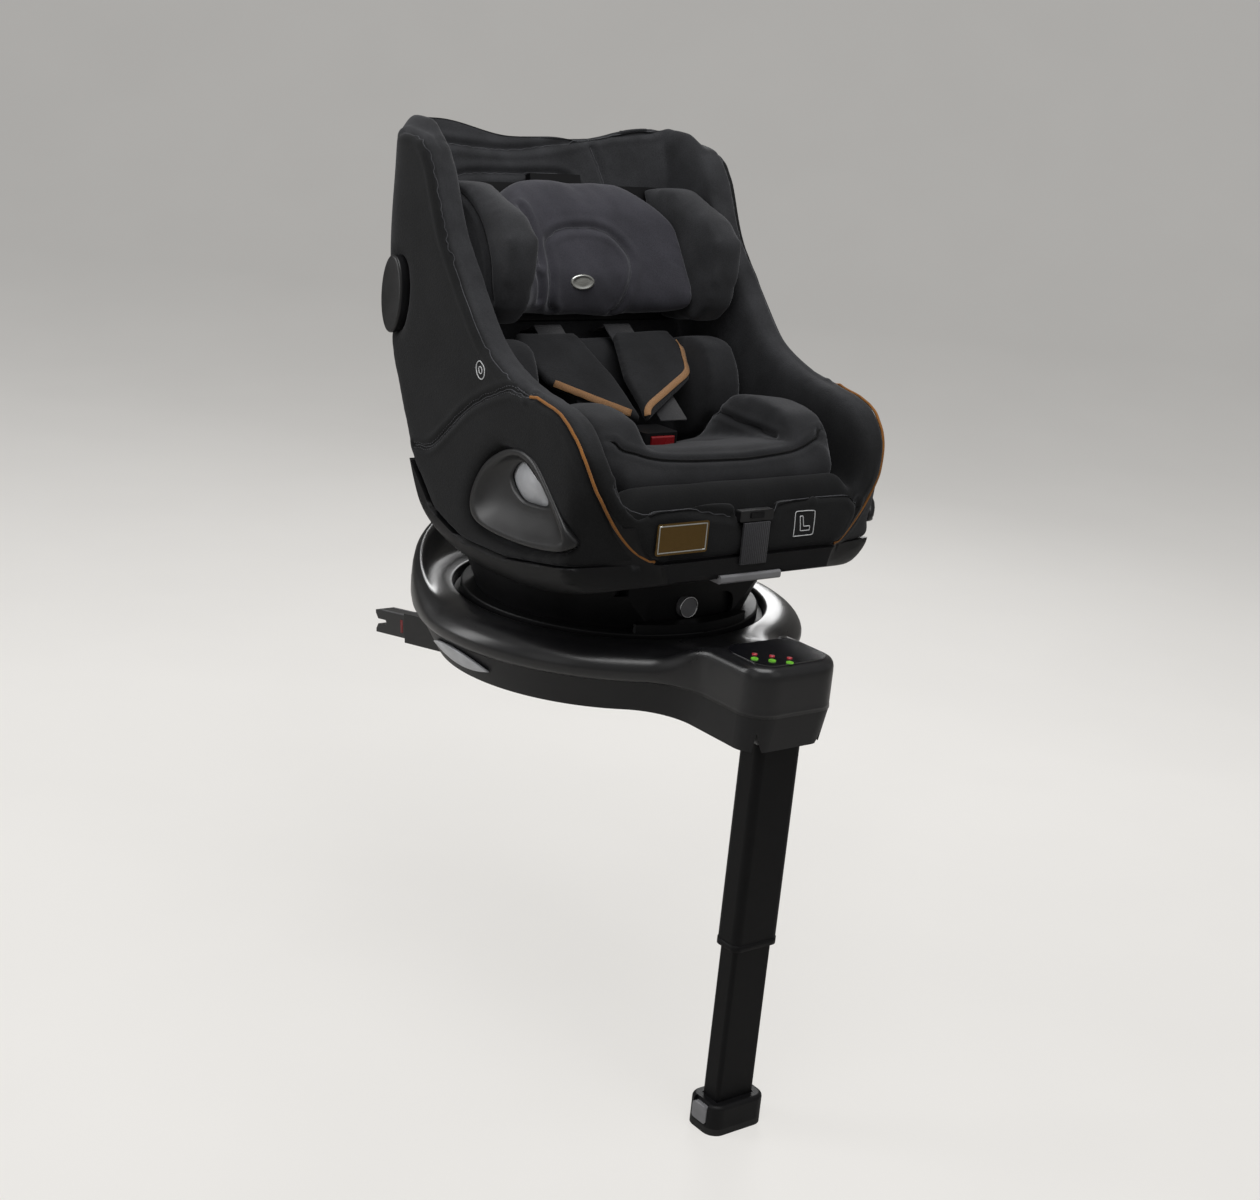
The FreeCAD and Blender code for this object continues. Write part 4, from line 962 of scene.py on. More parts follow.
def base_plan():
    """Closed plan of the base in millimetres: front, console side, blend and ring, mirrored."""
    half, front, corner, blend = CONSOLE_HALF, CONSOLE_FRONT, CONSOLE_CORNER, CONSOLE_BLEND
    middle_x = half + blend
    middle_y = -math.sqrt((SEAM_RADIUS + blend) ** 2 - middle_x ** 2)
    points = [(x, -front) for x in np.linspace(0, half - corner, 7)[:-1]]
    points += [(half - corner + corner * math.sin(t), corner - front - corner * math.cos(t))
               for t in np.linspace(0, math.pi / 2, 10)[:-1]]
    points += [(half, y) for y in np.linspace(corner - front, middle_y, 10)[:-1]]
    last = math.atan2(-middle_y, -middle_x)
    points += [(middle_x + blend * math.cos(t), middle_y + blend * math.sin(t))
               for t in np.linspace(math.pi, last, 26)[:-1]]
    first = math.atan2(middle_y, middle_x)
    points += [(SEAM_RADIUS * math.cos(t), SEAM_RADIUS * math.sin(t))
               for t in np.linspace(first, math.pi / 2, 96)]
    return np.array(points + [(-x, y) for x, y in points[-2:0:-1]])


def eased(value):
    """Smooth step from 0 to 1."""
    value = np.clip(value, 0, 1)
    return value * value * (3 - 2 * value)


RING = [(193, -0.1), (198, -0.6), (203, -1.3), (207.5, -2.5), (211.5, -3.9), (215, -5.5), (218, -7.3),
        (220.8, -9.2), (223.2, -11.3), (225.3, -13.6), (227, -16), (228.6, -18.8), (229.6, -22),
        (229.8, -26), (228, -31), (225, -35), (221.2, -37.8)]
WALL = [(198, 0.3), (207, 2.5), (214, 7.5), (219.5, 16), (223, 28), (225, 42), (226, 50), (228, 53.5),
        (230.5, 54.2), (233, 53), (235, 49), (236, 38), (236, 14), (235, -5), (233, -18), (228, -30),
        (221.2, -37.8)]
PLATEAU = [0.12, 0.26, 0.42, 0.58, 0.74, 0.88, 1.0]
FLANK = [(7, -0.6), (3.6, -2.4), (1.4, -5.4), (0.3, -9.5), (0, -16), (0, -25), (0, -35), (0, -44), (0, -50),
         (-0.6, -54.8)]
RIM = [(184, -23), (184, -2.5), (184.8, -0.8), (187, 0)]
UNDERSIDE = [(190, -31), (188, -26), (66, -26), (66, -23)]


class SEAT_OT_base(bpy.types.Operator):
    """Mould the base cover with its rear wall and console, and finish the base parts"""
    bl_idname = "seat.base"
    bl_label = "Base"

    def execute(self, context):
        plan = base_plan()
        along = np.roll(plan, -1, 0) - np.roll(plan, 1, 0)
        along /= np.linalg.norm(along, axis=1, keepdims=True)
        outwards = np.stack([along[:, 1], -along[:, 0]], axis=1)
        vertices = []
        for spot, out in zip(plan, outwards):
            vertices += self.section(spot, out)
        count = len(vertices) // len(plan)
        faces = []
        for i in range(len(plan)):
            j = (i + 1) % len(plan)
            for k in range(count):
                n = (k + 1) % count
                faces.append([i * count + k, j * count + k, j * count + n, i * count + n])
        cover = piece("base_cover_moulding", [place(*v) for v in vertices], faces, finish("base"))
        outward(cover)
        settle(cover, "base", "base_black", "base_cover")
        for node, name in (("base_housing", "skirt"), ("leg_channel_liner", "dark"), ("leg_bracket", "steel"),
                           ("latch_guide_left", "dark"), ("latch_guide_right", "dark"),
                           ("indicator_panel", "gloss"), ("leg_pivot_pin", "steel"),
                           ("turntable_bearing", "dark")):
            refinish(node, name)
        for number in range(3):
            refinish(f"status_light_{number + 1}", "green_light")
        self.warning_lights()
        self.underside_screws()
        return {"FINISHED"}

    def section(self, spot, out):
        """Closed section of the cover at one place of the plan."""
        x, y = spot
        radial = spot / np.linalg.norm(spot)
        console = float(eased((-y - 196) / (262 - 196))) if abs(x) < 104 else 0.0
        share = np.clip((y - 22) / 196, 0, 1)
        wall = 0.6 * share + 0.4 * float(eased(share))
        rows = [(*(radial * radius), z) for radius, z in RIM]
        rim = radial * RIM[-1][0]
        edge = spot - out * 12
        for k, ((ring_r, ring_z), (wall_r, wall_z)) in enumerate(zip(RING, WALL)):
            radius = ring_r + (wall_r - ring_r) * wall
            level = ring_z + (wall_z - ring_z) * wall
            flat = spot - out * (SEAM_RADIUS - radius)
            if k < len(PLATEAU):
                raised = rim + (edge - rim) * PLATEAU[k]
                top = CONSOLE_RISE * float(eased((-raised[1] - 222) / (268 - 222)))
            else:
                inset, drop = FLANK[k - len(PLATEAU)]
                raised = spot - out * inset
                top = CONSOLE_RISE + drop
            spot_k = flat + (raised - flat) * console
            rows.append((*spot_k, level + (top - level) * console))
        rows.append((*(spot - out * 3), UNDERSIDE[0][1]))
        rows += [(*(radial * radius), z) for radius, z in UNDERSIDE]
        return rows

    def warning_lights(self):
        """Red lenses beside the green ones."""
        lights = []
        for number in range(3):
            low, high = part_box(f"status_light_{number + 1}")
            middle = (low + high) / 2
            ring = [Vector((middle.x + 0.010 + 0.0030 * math.cos(t), middle.y + 0.012 + 0.0030 * math.sin(t),
                            low.z)) for t in np.linspace(0, 2 * math.pi, 20, endpoint=False)]
            lights.append(prism(ring, (0, 0, high.z - low.z)))
        item = joined("warning_lights", lights, finish("red_light"))
        settle(item, "base", "button_red")

    def underside_screws(self):
        """Screws under the base."""
        spots = []
        for turn in range(25, 360, 31):
            angle = math.radians(turn)
            x, y = 150 * math.sin(angle), 150 * math.cos(angle)
            if abs(x) > 60:
                spots.append((place(x, y, -DECK), (0, 0, -1)))
        screws("underside_screws", spots, "base")


class SEAT_OT_turntable(bpy.types.Operator):
    """Finish the turntable, the carriage and the swivel button"""
    bl_idname = "seat.turntable"
    bl_label = "Turntable"

    def execute(self, context):
        for node, name in (("turntable_disc", "shell"), ("carriage", "shell"), ("front_bumper", "shell"),
                           ("swivel_button", "grey"), ("recline_rib_right", "dark"),
                           ("recline_rib_left", "dark")):
            refinish(node, name)
        low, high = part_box("swivel_button")
        middle = (low + high) / 2
        turns = np.linspace(0, 2 * math.pi, 48, endpoint=False)
        line = np.array([(middle.x + 0.0118 * math.cos(t), low.y + 0.0004, middle.z + 0.0118 * math.sin(t))
                         for t in turns])
        sides = np.tile((0.0, -1.0, 0.0), (len(line), 1))
        ring = swept("swivel_button_ring", line, sides, round_section(0.0012), finish("chrome"), closed=True)
        settle(ring, "swivel_press", "grey_plastic")
        return {"FINISHED"}


class SEAT_OT_leg(bpy.types.Operator):
    """Finish the load leg and its foot"""
    bl_idname = "seat.leg"
    bl_label = "Load leg"

    def execute(self, context):
        for node, name in (("leg_outer_tube", "leg"), ("leg_inner_tube", "leg"), ("leg_height_button", "grey"),
                           ("leg_foot", "shell"), ("foot_end_cap", "grey"), ("foot_sole", "rubber")):
            refinish(node, name)
        self.collar()
        self.height_marks()
        return {"FINISHED"}

    def collar(self):
        """Lip around the lower end of the outer tube."""
        low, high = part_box("leg_outer_tube")
        half_x = (high.x - low.x) / 2
        middle_y = -0.308
        half_y = 0.018
        corner = 0.009
        line = []
        for turn in range(4):
            start = turn * math.pi / 2
            centre_x = (half_x - corner) * (1 if turn in (0, 3) else -1)
            centre_y = (half_y - corner) * (1 if turn in (0, 1) else -1)
            for t in np.linspace(start, start + math.pi / 2, 8):
                line.append((centre_x + corner * math.cos(t), middle_y + centre_y + corner * math.sin(t),
                             low.z + 0.004))
        line = np.array(line)
        sides = line - np.array([0, middle_y, low.z + 0.004])
        sides /= np.linalg.norm(sides, axis=1, keepdims=True)
        section = [(-0.0042, -0.0005), (-0.0036, 0.0008), (0.0036, 0.0008), (0.0042, -0.0005)]
        item = swept("leg_tube_lip", line, sides, section, finish("leg"), closed=True)
        settle(item, "leg_upper", "leg_black")

    def height_marks(self):
        """Row of printed height marks on the rear of the inner tube."""
        low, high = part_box("leg_inner_tube")
        marks = []
        for number in range(9):
            z = low.z + 0.040 + number * 0.018
            outline = [(-0.007, high.y, z), (0.007, high.y, z), (0.007, high.y, z + 0.0028),
                       (-0.007, high.y, z + 0.0028)]
            marks.append(prism(outline, (0, 0.00015, 0)))
        item = joined("leg_height_marks", marks, finish("print"))
        settle(item, "leg_lower", "pale_plastic")


class SEAT_OT_latches(bpy.types.Operator):
    """Finish the latch arms and their release plates"""
    bl_idname = "seat.latches"
    bl_label = "Latches"

    def execute(self, context):
        slope = math.radians(10)
        down = Vector((0, math.cos(slope), -math.sin(slope)))
        up = Vector((0, math.sin(slope), math.cos(slope)))
        for side, name in ((1, "left"), (-1, "right")):
            refinish(f"latch_arm_{name}", "arm")
            middle = Vector((side * 0.140, 0.272, -0.027))
            windows = []
            for face in (-1, 1):
                start = middle + Vector((face * 0.013, 0, 0)) - down * 0.066
                outline = [start + up * 0.008, start + up * 0.008 + down * 0.006,
                           start - up * 0.008 + down * 0.006, start - up * 0.008]
                windows.append(prism(outline, (face * 0.0002, 0, 0)))
            item = joined(f"latch_window_{name}", windows, finish("red_window"))
            settle(item, f"latch_{name}", "button_red")
            ridges = []
            for face in (-1, 1):
                start = middle + Vector((face * 0.0095, 0, 0)) + up * 0.0138 - down * 0.118
                half = Vector((0.0012, 0, 0))
                run = down * 0.112
                outline = [start - half, start + half, start + half + run, start - half + run]
                ridges.append(prism(outline, up * 0.0007))
            item = joined(f"latch_ridges_{name}", ridges, finish("grey"))
            settle(item, f"latch_{name}", "latch_steel")
            self.release_mark(side, name)
        return {"FINISHED"}

    def release_mark(self, side, name):
        """Plain arrow and bar moulded on the release plate."""
        plate = node_copy(f"release_plate_{name}", f"latch_release_{name}")
        adopt_copy(plate, finish("pale"))
        values = corners(plate)
        outwards = values[:, :2] / np.linalg.norm(values[:, :2], axis=1, keepdims=True)
        values[:, :2] += outwards * 0.0040
        move_corners(plate, values)
        bevelled(plate, 0.0012, 2)
        settle(plate, f"release_{name}", "pale_plastic", f"latch_release_{name}")
        tree = surface_of(plate)
        marks = []
        for points in ([(-34, -50), (-14, -48), (-14, -58), (-34, -58)],
                       [(-4, -60), (14, -52), (14, -60)],
                       [(20, -50), (24, -50), (24, -58), (20, -58)]):
            ring = [place(side * 205, y, z) for y, z in points]
            line = []
            for a, b in zip(ring, ring[1:] + ring[:1]):
                line += [a.lerp(b, t) for t in np.linspace(0, 1, 6, endpoint=False)]
            laid, sides = laid_on(tree, line, 0.0002, 1)
            marks.append(swept("mark", laid, sides, round_section(0.0007, 6), finish("dark"), closed=True))
        item = joined(f"release_mark_{name}", marks, finish("dark"))
        settle(item, f"release_{name}", "shell_black")


# ---------------------------------------------------------------- shell and side covers

class SEAT_OT_shell(bpy.types.Operator):
    """Finish the shell, whose lower part is the plastic band under the cover, with ribs and screws"""
    bl_idname = "seat.shell"
    bl_label = "Shell"

    def execute(self, context):
        for node, name in (("recline_handle", "grey"), ("head_carrier", "shell"), ("head_release", "shell")):
            refinish(node, name)
        shell = self.shell()
        tree = surface_of(shell)
        rows = []
        for x in (-96, -48, 0, 48, 96):
            line = []
            for z in np.linspace(150, 430, 40):
                spot, side, _, _ = tree.ray_cast(place(x, 400, z), Vector((0, -1, 0)))
                if spot is not None and spot.y > 0.10:
                    line.append(spot)
            if len(line) > 6:
                rows.append(np.array(line))
        ribs = []
        for row in rows:
            sides = np.tile((0.0, 1.0, 0.0), (len(row), 1))
            section = [(-0.0030, -0.0010), (-0.0018, 0.0030), (0.0018, 0.0030), (0.0030, -0.0010)]
            ribs.append(swept("rib", row, sides, section, finish("shell")))
        if ribs:
            settle(joined("shell_rear_ribs", ribs, finish("shell")), "seat", "shell_black")
        spots = []
        for x in (-130, 130):
            for z in (170, 300, 420):
                spot, side, _, _ = tree.ray_cast(place(x, 400, z), Vector((0, -1, 0)))
                if spot is not None and spot.y > 0.10:
                    spots.append((spot, side))
        if spots:
            screws("shell_screws", spots, "seat", radius=0.0045)
        return {"FINISHED"}

    def shell(self):
        """Moulded shell with its lower front corners tucked in."""
        item = node_copy("seat_shell_moulding", "seat_shell")
        form = bmesh.new()
        form.from_mesh(item.data)
        cuts = [((side * x, 0, 0), (1, 0, 0)) for x in range(100, 196, 12) for side in (-1, 1)]
        cuts += [((0, -y, 0), (0, 1, 0)) for y in range(118, 240, 12)]
        cuts += [((0, 0, z), (0, 0, 1)) for z in range(100, 330, 12)]
        for spot, way in cuts:
            bmesh.ops.bisect_plane(form, geom=form.verts[:] + form.edges[:] + form.faces[:], dist=1e-6,
                                   plane_co=Vector(spot) / 1000, plane_no=way)
        form.to_mesh(item.data)
        form.free()
        adopt_copy(item, finish("shell"))
        move_corners(item, tucked(corners(item)))
        item.data.set_sharp_from_angle(angle=math.radians(35))
        return settle(item, "seat", "shell_black", "seat_shell")


SIDE_SEAM = [(-216, 106, 161), (-216, 73, 167), (-216, 40, 192), (-216, 7, 220), (-216, -25, 240),
             (-216, -63, 257), (-216, -95, 266), (-214, -118, 271)]
WING_SEAM = [(-213, 186, 506), (-213, 160, 506), (-213, 130, 500), (-213, 112, 484), (-213, 77, 412),
             (-213, 53, 378), (-213, 18, 337), (-213, -25, 297), (-214, -57, 282), (-215, -105, 270)]
WING_PIPING = [(-215, -114, 270), (-215, -157, 265), (-215, -182, 252), (-214, -208, 228),
               (-203, -230, 181), (-176, -236, 141), (-148, -236, 116), (-126, -236, 106)]
BACK_ARCH = [
    (-131, 187, 454), (-109, 189, 458), (-52, 190, 460), (7, 190, 462), (27, 189, 458), (42, 184, 445),
    (45, 181, 437)
]
BACK_TOP = [(-146, 204, 488), (-69, 203, 485), (-11, 204, 489), (83, 210, 505), (190, 214, 515)]
BACK_DART = [(67, 201, 491), (75, 194, 472), (85, 182, 440)]
SMILE = [(-170, -243, 199), (-152, -243, 188), (-119, -243, 175), (-72, -243, 162), (-31, -243, 154)]
SMILE_RIGHT = [(16, -243, 158), (42, -243, 167), (64, -243, 179), (77, -243, 192)]
FRONT_CORNER = [(89, -235, 193), (116, -235, 187), (139, -235, 170), (154, -235, 146), (148, -235, 118)]


def tucked(values):
    """Lower front corners of the seat drawn inwards, as the wings curve under the front."""
    values = np.array(values, float)
    x, y, z = (values * 1000).T
    limit = np.interp(z - DECK, [60, 104, 114, 141, 181, 228, 250], [112, 128, 148, 175, 204, 215, 216])
    keep = 1 - (216 - limit) / 116 * eased((-y - 196) / 42)
    wide = np.abs(x)
    wide = np.where(wide > 100, 100 + (wide - 100) * keep, wide)
    values[:, 0] = np.sign(x) * wide / 1000
    return values


class SEAT_OT_cover(bpy.types.Operator):
    """Padded cover of the wings, back rest, cushion and front, with seams, piping, badge and pods"""
    bl_idname = "seat.cover"
    bl_label = "Cover"

    def execute(self, context):
        nodes = ("side_pad_right", "side_pad_left", "back_pad", "seat_cushion", "front_panel")
        cover = padded_form("seat_cover", node_copy("cells", *nodes), finish("cover"), rounds=14)
        self.fill_out(cover)
        crumple(cover, 0.055, 0.0011, 0.4)
        self.tint(cover)
        for side in (1, -1):
            wing = [(side * x, y, z) for x, y, z in WING_SEAM]
            flank = [(side * x, y, z) for x, y, z in SIDE_SEAM]
            edge = [(side * x, y, z) for x, y, z in WING_PIPING]
            seam(cover, path(wing), "seat", "grey_thread", depth=0.0034, width=0.0042)
            seam(cover, path(flank), "seat", "grey_thread", offsets=(-0.0040, 0.0040), depth=0.0030)
            line, _ = laid_on(surface_of(cover), smooth_line(path(edge), 0.0025), 0.0004)
            channel(cover, line, width=0.0045, depth=0.0022)
            PIPES.setdefault(("seat", "piping"), []).append((line, sizes().piping))
        for points in (BACK_ARCH, BACK_TOP, BACK_DART, SMILE, SMILE_RIGHT, FRONT_CORNER):
            seam(cover, path(points), "seat", "grey_thread", depth=0.0032, width=0.0042)
        settle(cover, "seat", "cover_black", *nodes)
        self.badges(cover)
        self.pods()
        return {"FINISHED"}

    def fill_out(self, cover):
        """Fuller front roll, rising back corners, room behind the head support and tucked lower corners."""
        values = corners(cover)
        facing = directions(cover)
        x, y, z = (values * 1000).T
        z = z - DECK
        wide = np.abs(x)
        roll = eased((-y - 168) / 34) * eased((172 - wide) / 30) * np.clip(facing[:, 2], 0, 1)
        roll *= eased((z - 140) / 20) * eased((225 - z) / 15)
        peak = eased((z - 420) / 60) * eased((wide - 45) / 105)
        peak *= eased((200 - wide) / 20) * eased((y - 130) / 40)
        front = eased((-y - 225) / 10) * eased((165 - z) / 12)
        rest = eased((-facing[:, 1] - 0.2) / 0.4) * eased((y - 40) / 30) * eased((z - 225) / 25)
        values[:, 2] += 0.024 * roll + 0.016 * peak
        values[:, 1] += 0.0018 * front + 0.0032 * rest
        move_corners(cover, tucked(values))
        relax(cover, 3)
        relax(cover, 22, hold=self.away_from_roll)

    @staticmethod
    def away_from_roll(values):
        """1 away from the front roll, 0 on it."""
        x, y, z = (values * 1000).T
        z = z - DECK
        height = eased((z - 128) / 18) * eased((232 - z) / 14)
        return 1 - eased((-y - 150) / 30) * height * eased((196 - np.abs(x)) / 20)

    def tint(self, cover):
        """Inside the outer edge of the wings the cover takes the lighter tint, faded out between about 290 and
        200 mm over the deck: the two-tone is the cover's own, the darker lower front is painted shade.
        """
        values = corners(cover)
        # painted shade: the lighter tint fades out towards the bottom, so the lower front keeps the dark side
        # tint
        inner = eased((0.213 - np.abs(values[:, 0])) / 0.007) * eased((values[:, 2] - 0.275) / 0.09)
        band = cover.data.attributes.new("band", "FLOAT", "POINT")
        band.data.foreach_set("value", inner)

    def badges(self, pad):
        """Plain large and small rings woven on each wing corner."""
        tree = surface_of(pad)
        marks = []
        centre = np.array(place(-214, -20, 271))
        towards = np.array([-0.75, -0.55, 0.35])
        towards /= np.linalg.norm(towards)
        across = np.cross(towards, (0, 0, 1))
        across /= np.linalg.norm(across)
        rise = np.cross(across, towards)
        shapes = [[(0.010 * math.cos(t), 0.010 * math.sin(t)) for t in np.linspace(0, 2 * math.pi, 40)[:-1]],
                  [(0.004 * math.cos(t), 0.004 * math.sin(t)) for t in np.linspace(0, 2 * math.pi, 24)[:-1]]]
        for shape in shapes:
            line = np.array([centre + across * a + rise * b for a, b in shape])
            line, sides = laid_on(tree, line, 0.0003, 1)
            marks.append(swept("mark", line, sides, round_section(0.0006, 6), finish("print"), closed=True))
        item = joined("wing_badge_right", marks, finish("print"))
        other = mirrored(item, "wing_badge_left")
        settle(item, "seat", "pale_plastic")
        settle(other, "seat", "pale_plastic")

    def pods(self):
        """Side pods with rounded edges."""
        for side in ("right", "left"):
            item = node_copy(f"side_pod_cover_{side}", f"side_pod_{side}")
            item = adopt_copy(item, finish("dish"))
            bevelled(item, 0.0016, 2)
            settle(item, f"pod_{side}", "shell_black", f"side_pod_{side}")


def adopt_copy(item, material):
    """Give a copied node its finish and smooth shading."""
    item.data.materials.clear()
    item.data.materials.append(material)
    item.data.polygons.foreach_set("use_smooth", [True] * len(item.data.polygons))
    return item


RIM_OUTER = [
    (-88, 201), (-44, 176), (-21, 140), (-24, 114), (-57, 105), (-124, 106), (-181, 114), (-204, 123),
    (-204, 135), (-173, 167), (-130, 200)
]
RIM_INNER = [
    (-88, 194), (-46, 166), (-31, 138), (-37, 119), (-60, 112), (-123, 113), (-176, 121), (-195, 128),
    (-193, 136), (-168, 163), (-126, 193)
]
DISH_HOLE = [
    (-94, 187), (-82, 172), (-88, 160), (-105, 150), (-128, 150), (-148, 153), (-151, 160), (-136, 176),
    (-112, 188)
]


class SEAT_OT_handles(bpy.types.Operator):
    """Deep moulded grip dishes with their rims"""
    bl_idname = "seat.handles"
    bl_label = "Carry grips"

    def execute(self, context):
        count = 120
        loops = []
        for points in (RIM_OUTER, RIM_INNER, DISH_HOLE):
            line = smooth_line([(0, *p) for p in points], 1.0, closed=True)[:, 1:]
            middle = line.mean(axis=0)
            angle = np.arctan2(line[:, 1] - middle[1], line[:, 0] - middle[0])
            order = np.argsort(angle)
            wanted = np.linspace(-math.pi, math.pi, count, endpoint=False)
            reach = np.interp(wanted, angle[order], np.linalg.norm(line - middle, axis=1)[order],
                              period=2 * math.pi)
            loops.append(middle + np.stack([np.cos(wanted), np.sin(wanted)], axis=1) * reach[:, None])
        outer, inner, hole = loops
        low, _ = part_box("handle_bezel_right")
        face = low.x * 1000
        rings = [(outer, face + 8), (outer, face + 1.6), (outer * 0.9 + inner * 0.1, face + 0.5),
                 (outer * 0.6 + inner * 0.4, face), (outer * 0.25 + inner * 0.75, face + 0.1),
                 (inner, face + 0.9)]
        for t in np.linspace(0.12, 1.0, 9):
            rings.append((inner * (1 - t) + hole * t, face + 0.9 + 10.5 * math.sin(t * math.pi / 2) ** 0.8))
        rings += [(hole, face + 14), (hole * 0.8 + outer * 0.2, face + 14.5),
                  (hole * 0.3 + outer * 0.7, face + 12)]
        vertices = [place(x, *spot) for ring, x in rings for spot in ring]
        faces = []
        for row in range(len(rings)):
            after = (row + 1) % len(rings)
            for k in range(count):
                n = (k + 1) % count
                faces.append([row * count + k, row * count + n, after * count + n, after * count + k])
        item = piece("handle_dish_right", vertices, faces, finish("dish"))
        outward(item)
        move_corners(item, tucked(corners(item)))
        other = mirrored(item, "handle_dish_left")
        settle(item, "seat", "shell_black", "handle_bezel_right")
        settle(other, "seat", "shell_black", "handle_bezel_left")
        panel = prism([place(face + 14.2, *spot) for spot in (hole * 1.12 - hole.mean(axis=0) * 0.12)[::3]],
                      (0.002, 0, 0))
        adopt_copy(panel, finish("pale"))
        move_corners(panel, tucked(corners(panel)))
        panel.name = "handle_panel_right"
        other = mirrored(panel, "handle_panel_left")
        settle(panel, "seat", "pale_plastic", "handle_liner_right")
        settle(other, "seat", "pale_plastic", "handle_liner_left")
        return {"FINISHED"}


# ---------------------------------------------------------------- back, front and inserts



class SEAT_OT_back(bpy.types.Operator):
    """Infant insert of the back"""
    bl_idname = "seat.back"
    bl_label = "Back rest"

    def execute(self, context):
        insert = padded_form("back_insert_cushion", node_copy("cells", "back_insert"), finish("insert"),
                             rounds=10, pressure=2.0, cap=0.005)
        crumple(insert, 0.045, 0.0022, 2.9)
        for side in (-1, 1):
            seam(insert, path([(side * 112, 150, 215), (side * 116, 158, 260), (side * 112, 168, 300),
                               (side * 100, 176, 325)]), "seat", depth=0.0028)
        settle(insert, "seat", "insert_charcoal", "back_insert")
        return {"FINISHED"}




class SEAT_OT_front(bpy.types.Operator):
    """Plate, picture and the adjuster"""
    bl_idname = "seat.front"
    bl_label = "Seat front"

    def execute(self, context):
        self.plate()
        self.picture(surface_of(bpy.data.objects["seat_cover"]))
        self.adjuster()
        return {"FINISHED"}

    def plate(self):
        """Blank bronze plate with a raised frame."""
        refinish("name_plate", "plate")
        low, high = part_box("name_plate")
        front = low.y
        inset = 0.0028
        spots = [(low.x + inset, low.z + inset), (high.x - inset, low.z + inset),
                 (high.x - inset, high.z - inset), (low.x + inset, high.z - inset)]
        line = []
        for a, b in zip(spots, spots[1:] + spots[:1]):
            line += [(a[0] + (b[0] - a[0]) * t, front, a[1] + (b[1] - a[1]) * t)
                     for t in np.linspace(0, 1, 14, endpoint=False)]
        line = np.array(line)
        sides = np.tile((0.0, -1.0, 0.0), (len(line), 1))
        frame_item = swept("plate_frame", line, sides, round_section(0.0008, 8), finish("badge"), closed=True)
        settle(frame_item, "seat", "bronze")

    def picture(self, tree):
        """Plain outline of a seat in a square, printed on the panel."""
        shapes = [[(-14, -14), (14, -14), (14, 14), (-14, 14)],
                  [(-7, 9), (-3, 9), (-1, -3), (8, -3), (8, -8), (-5, -8)]]
        marks = []
        for shape in shapes:
            line = []
            for a, b in zip(shape, shape[1:] + shape[:1]):
                line += [np.array(place(72 + a[0] + (b[0] - a[0]) * t, -246, 138 + a[1] + (b[1] - a[1]) * t))
                         for t in np.linspace(0, 1, 12, endpoint=False)]
            line, sides = laid_on(tree, line, 0.0002, 1)
            marks.append(swept("mark", line, sides, round_section(0.0005, 6), finish("print"), closed=True))
        settle(joined("front_picture", marks, finish("print")), "seat", "pale_plastic")

    def adjuster(self):
        """Harness adjuster strap and its opening."""
        for node, name in (("adjuster_bezel", "dish"), ("adjuster_button", "shell")):
            refinish(node, name)
        strap = node_copy("adjuster_webbing", "adjuster_strap")
        adopt_copy(strap, finish("adjuster"))
        bevelled(strap, 0.0006, 2)
        settle(strap, "seat", "webbing", "adjuster_strap")
        return {"FINISHED"}


class SEAT_OT_seat_insert(bpy.types.Operator):
    """Infant insert of the seat with its crescent rim"""
    bl_idname = "seat.seat_insert"
    bl_label = "Seat insert"

    def execute(self, context):
        insert = padded_form("seat_insert_cushion", node_copy("cells", "seat_insert"), finish("insert"),
                             rounds=12, pressure=2.4, cap=0.006)
        crumple(insert, 0.045, 0.0022, 0.9)
        rim = [(-146, -128, 214), (-132, -168, 210), (-92, -188, 208), (-30, -193, 207), (30, -193, 207),
               (92, -188, 208), (132, -168, 210), (146, -128, 214)]
        line, _ = laid_on(surface_of(insert), smooth_line(path(rim), 0.0025), 0.0001)
        channel(insert, line, width=0.0034, depth=0.0022)
        PIPES.setdefault(("seat", "thread"), []).append((line, 0.0012))
        for side in (-1, 1):
            thigh = [(side * 96, -150, 214), (side * 98, -90, 216), (side * 100, -30, 220)]
            seam(insert, path(thigh), "seat", depth=0.003)
        settle(insert, "seat", "insert_charcoal", "seat_insert")
        return {"FINISHED"}


# ---------------------------------------------------------------- head support

HEAD_ARCH = [
    (-51, 77, 299), (-61, 88, 331), (-65, 102, 369), (-62, 109, 389), (-39, 114, 401), (-4, 115, 404),
    (24, 113, 398), (47, 106, 381), (54, 99, 362), (47, 88, 331), (36, 74, 293)
]
HEAD_PLEATS = [
    [(-92, 108, 430), (-84, 100, 400), (-82, 90, 366)],
    [(-104, 102, 420), (-98, 88, 392), (-92, 80, 372)],
    [(-100, 84, 380), (-86, 84, 356), (-78, 78, 330)]
]
HEAD_LOOPS = [((-102, 152, 433), (-79, 150, 427)), ((14, 152, 433), (32, 153, 435))]


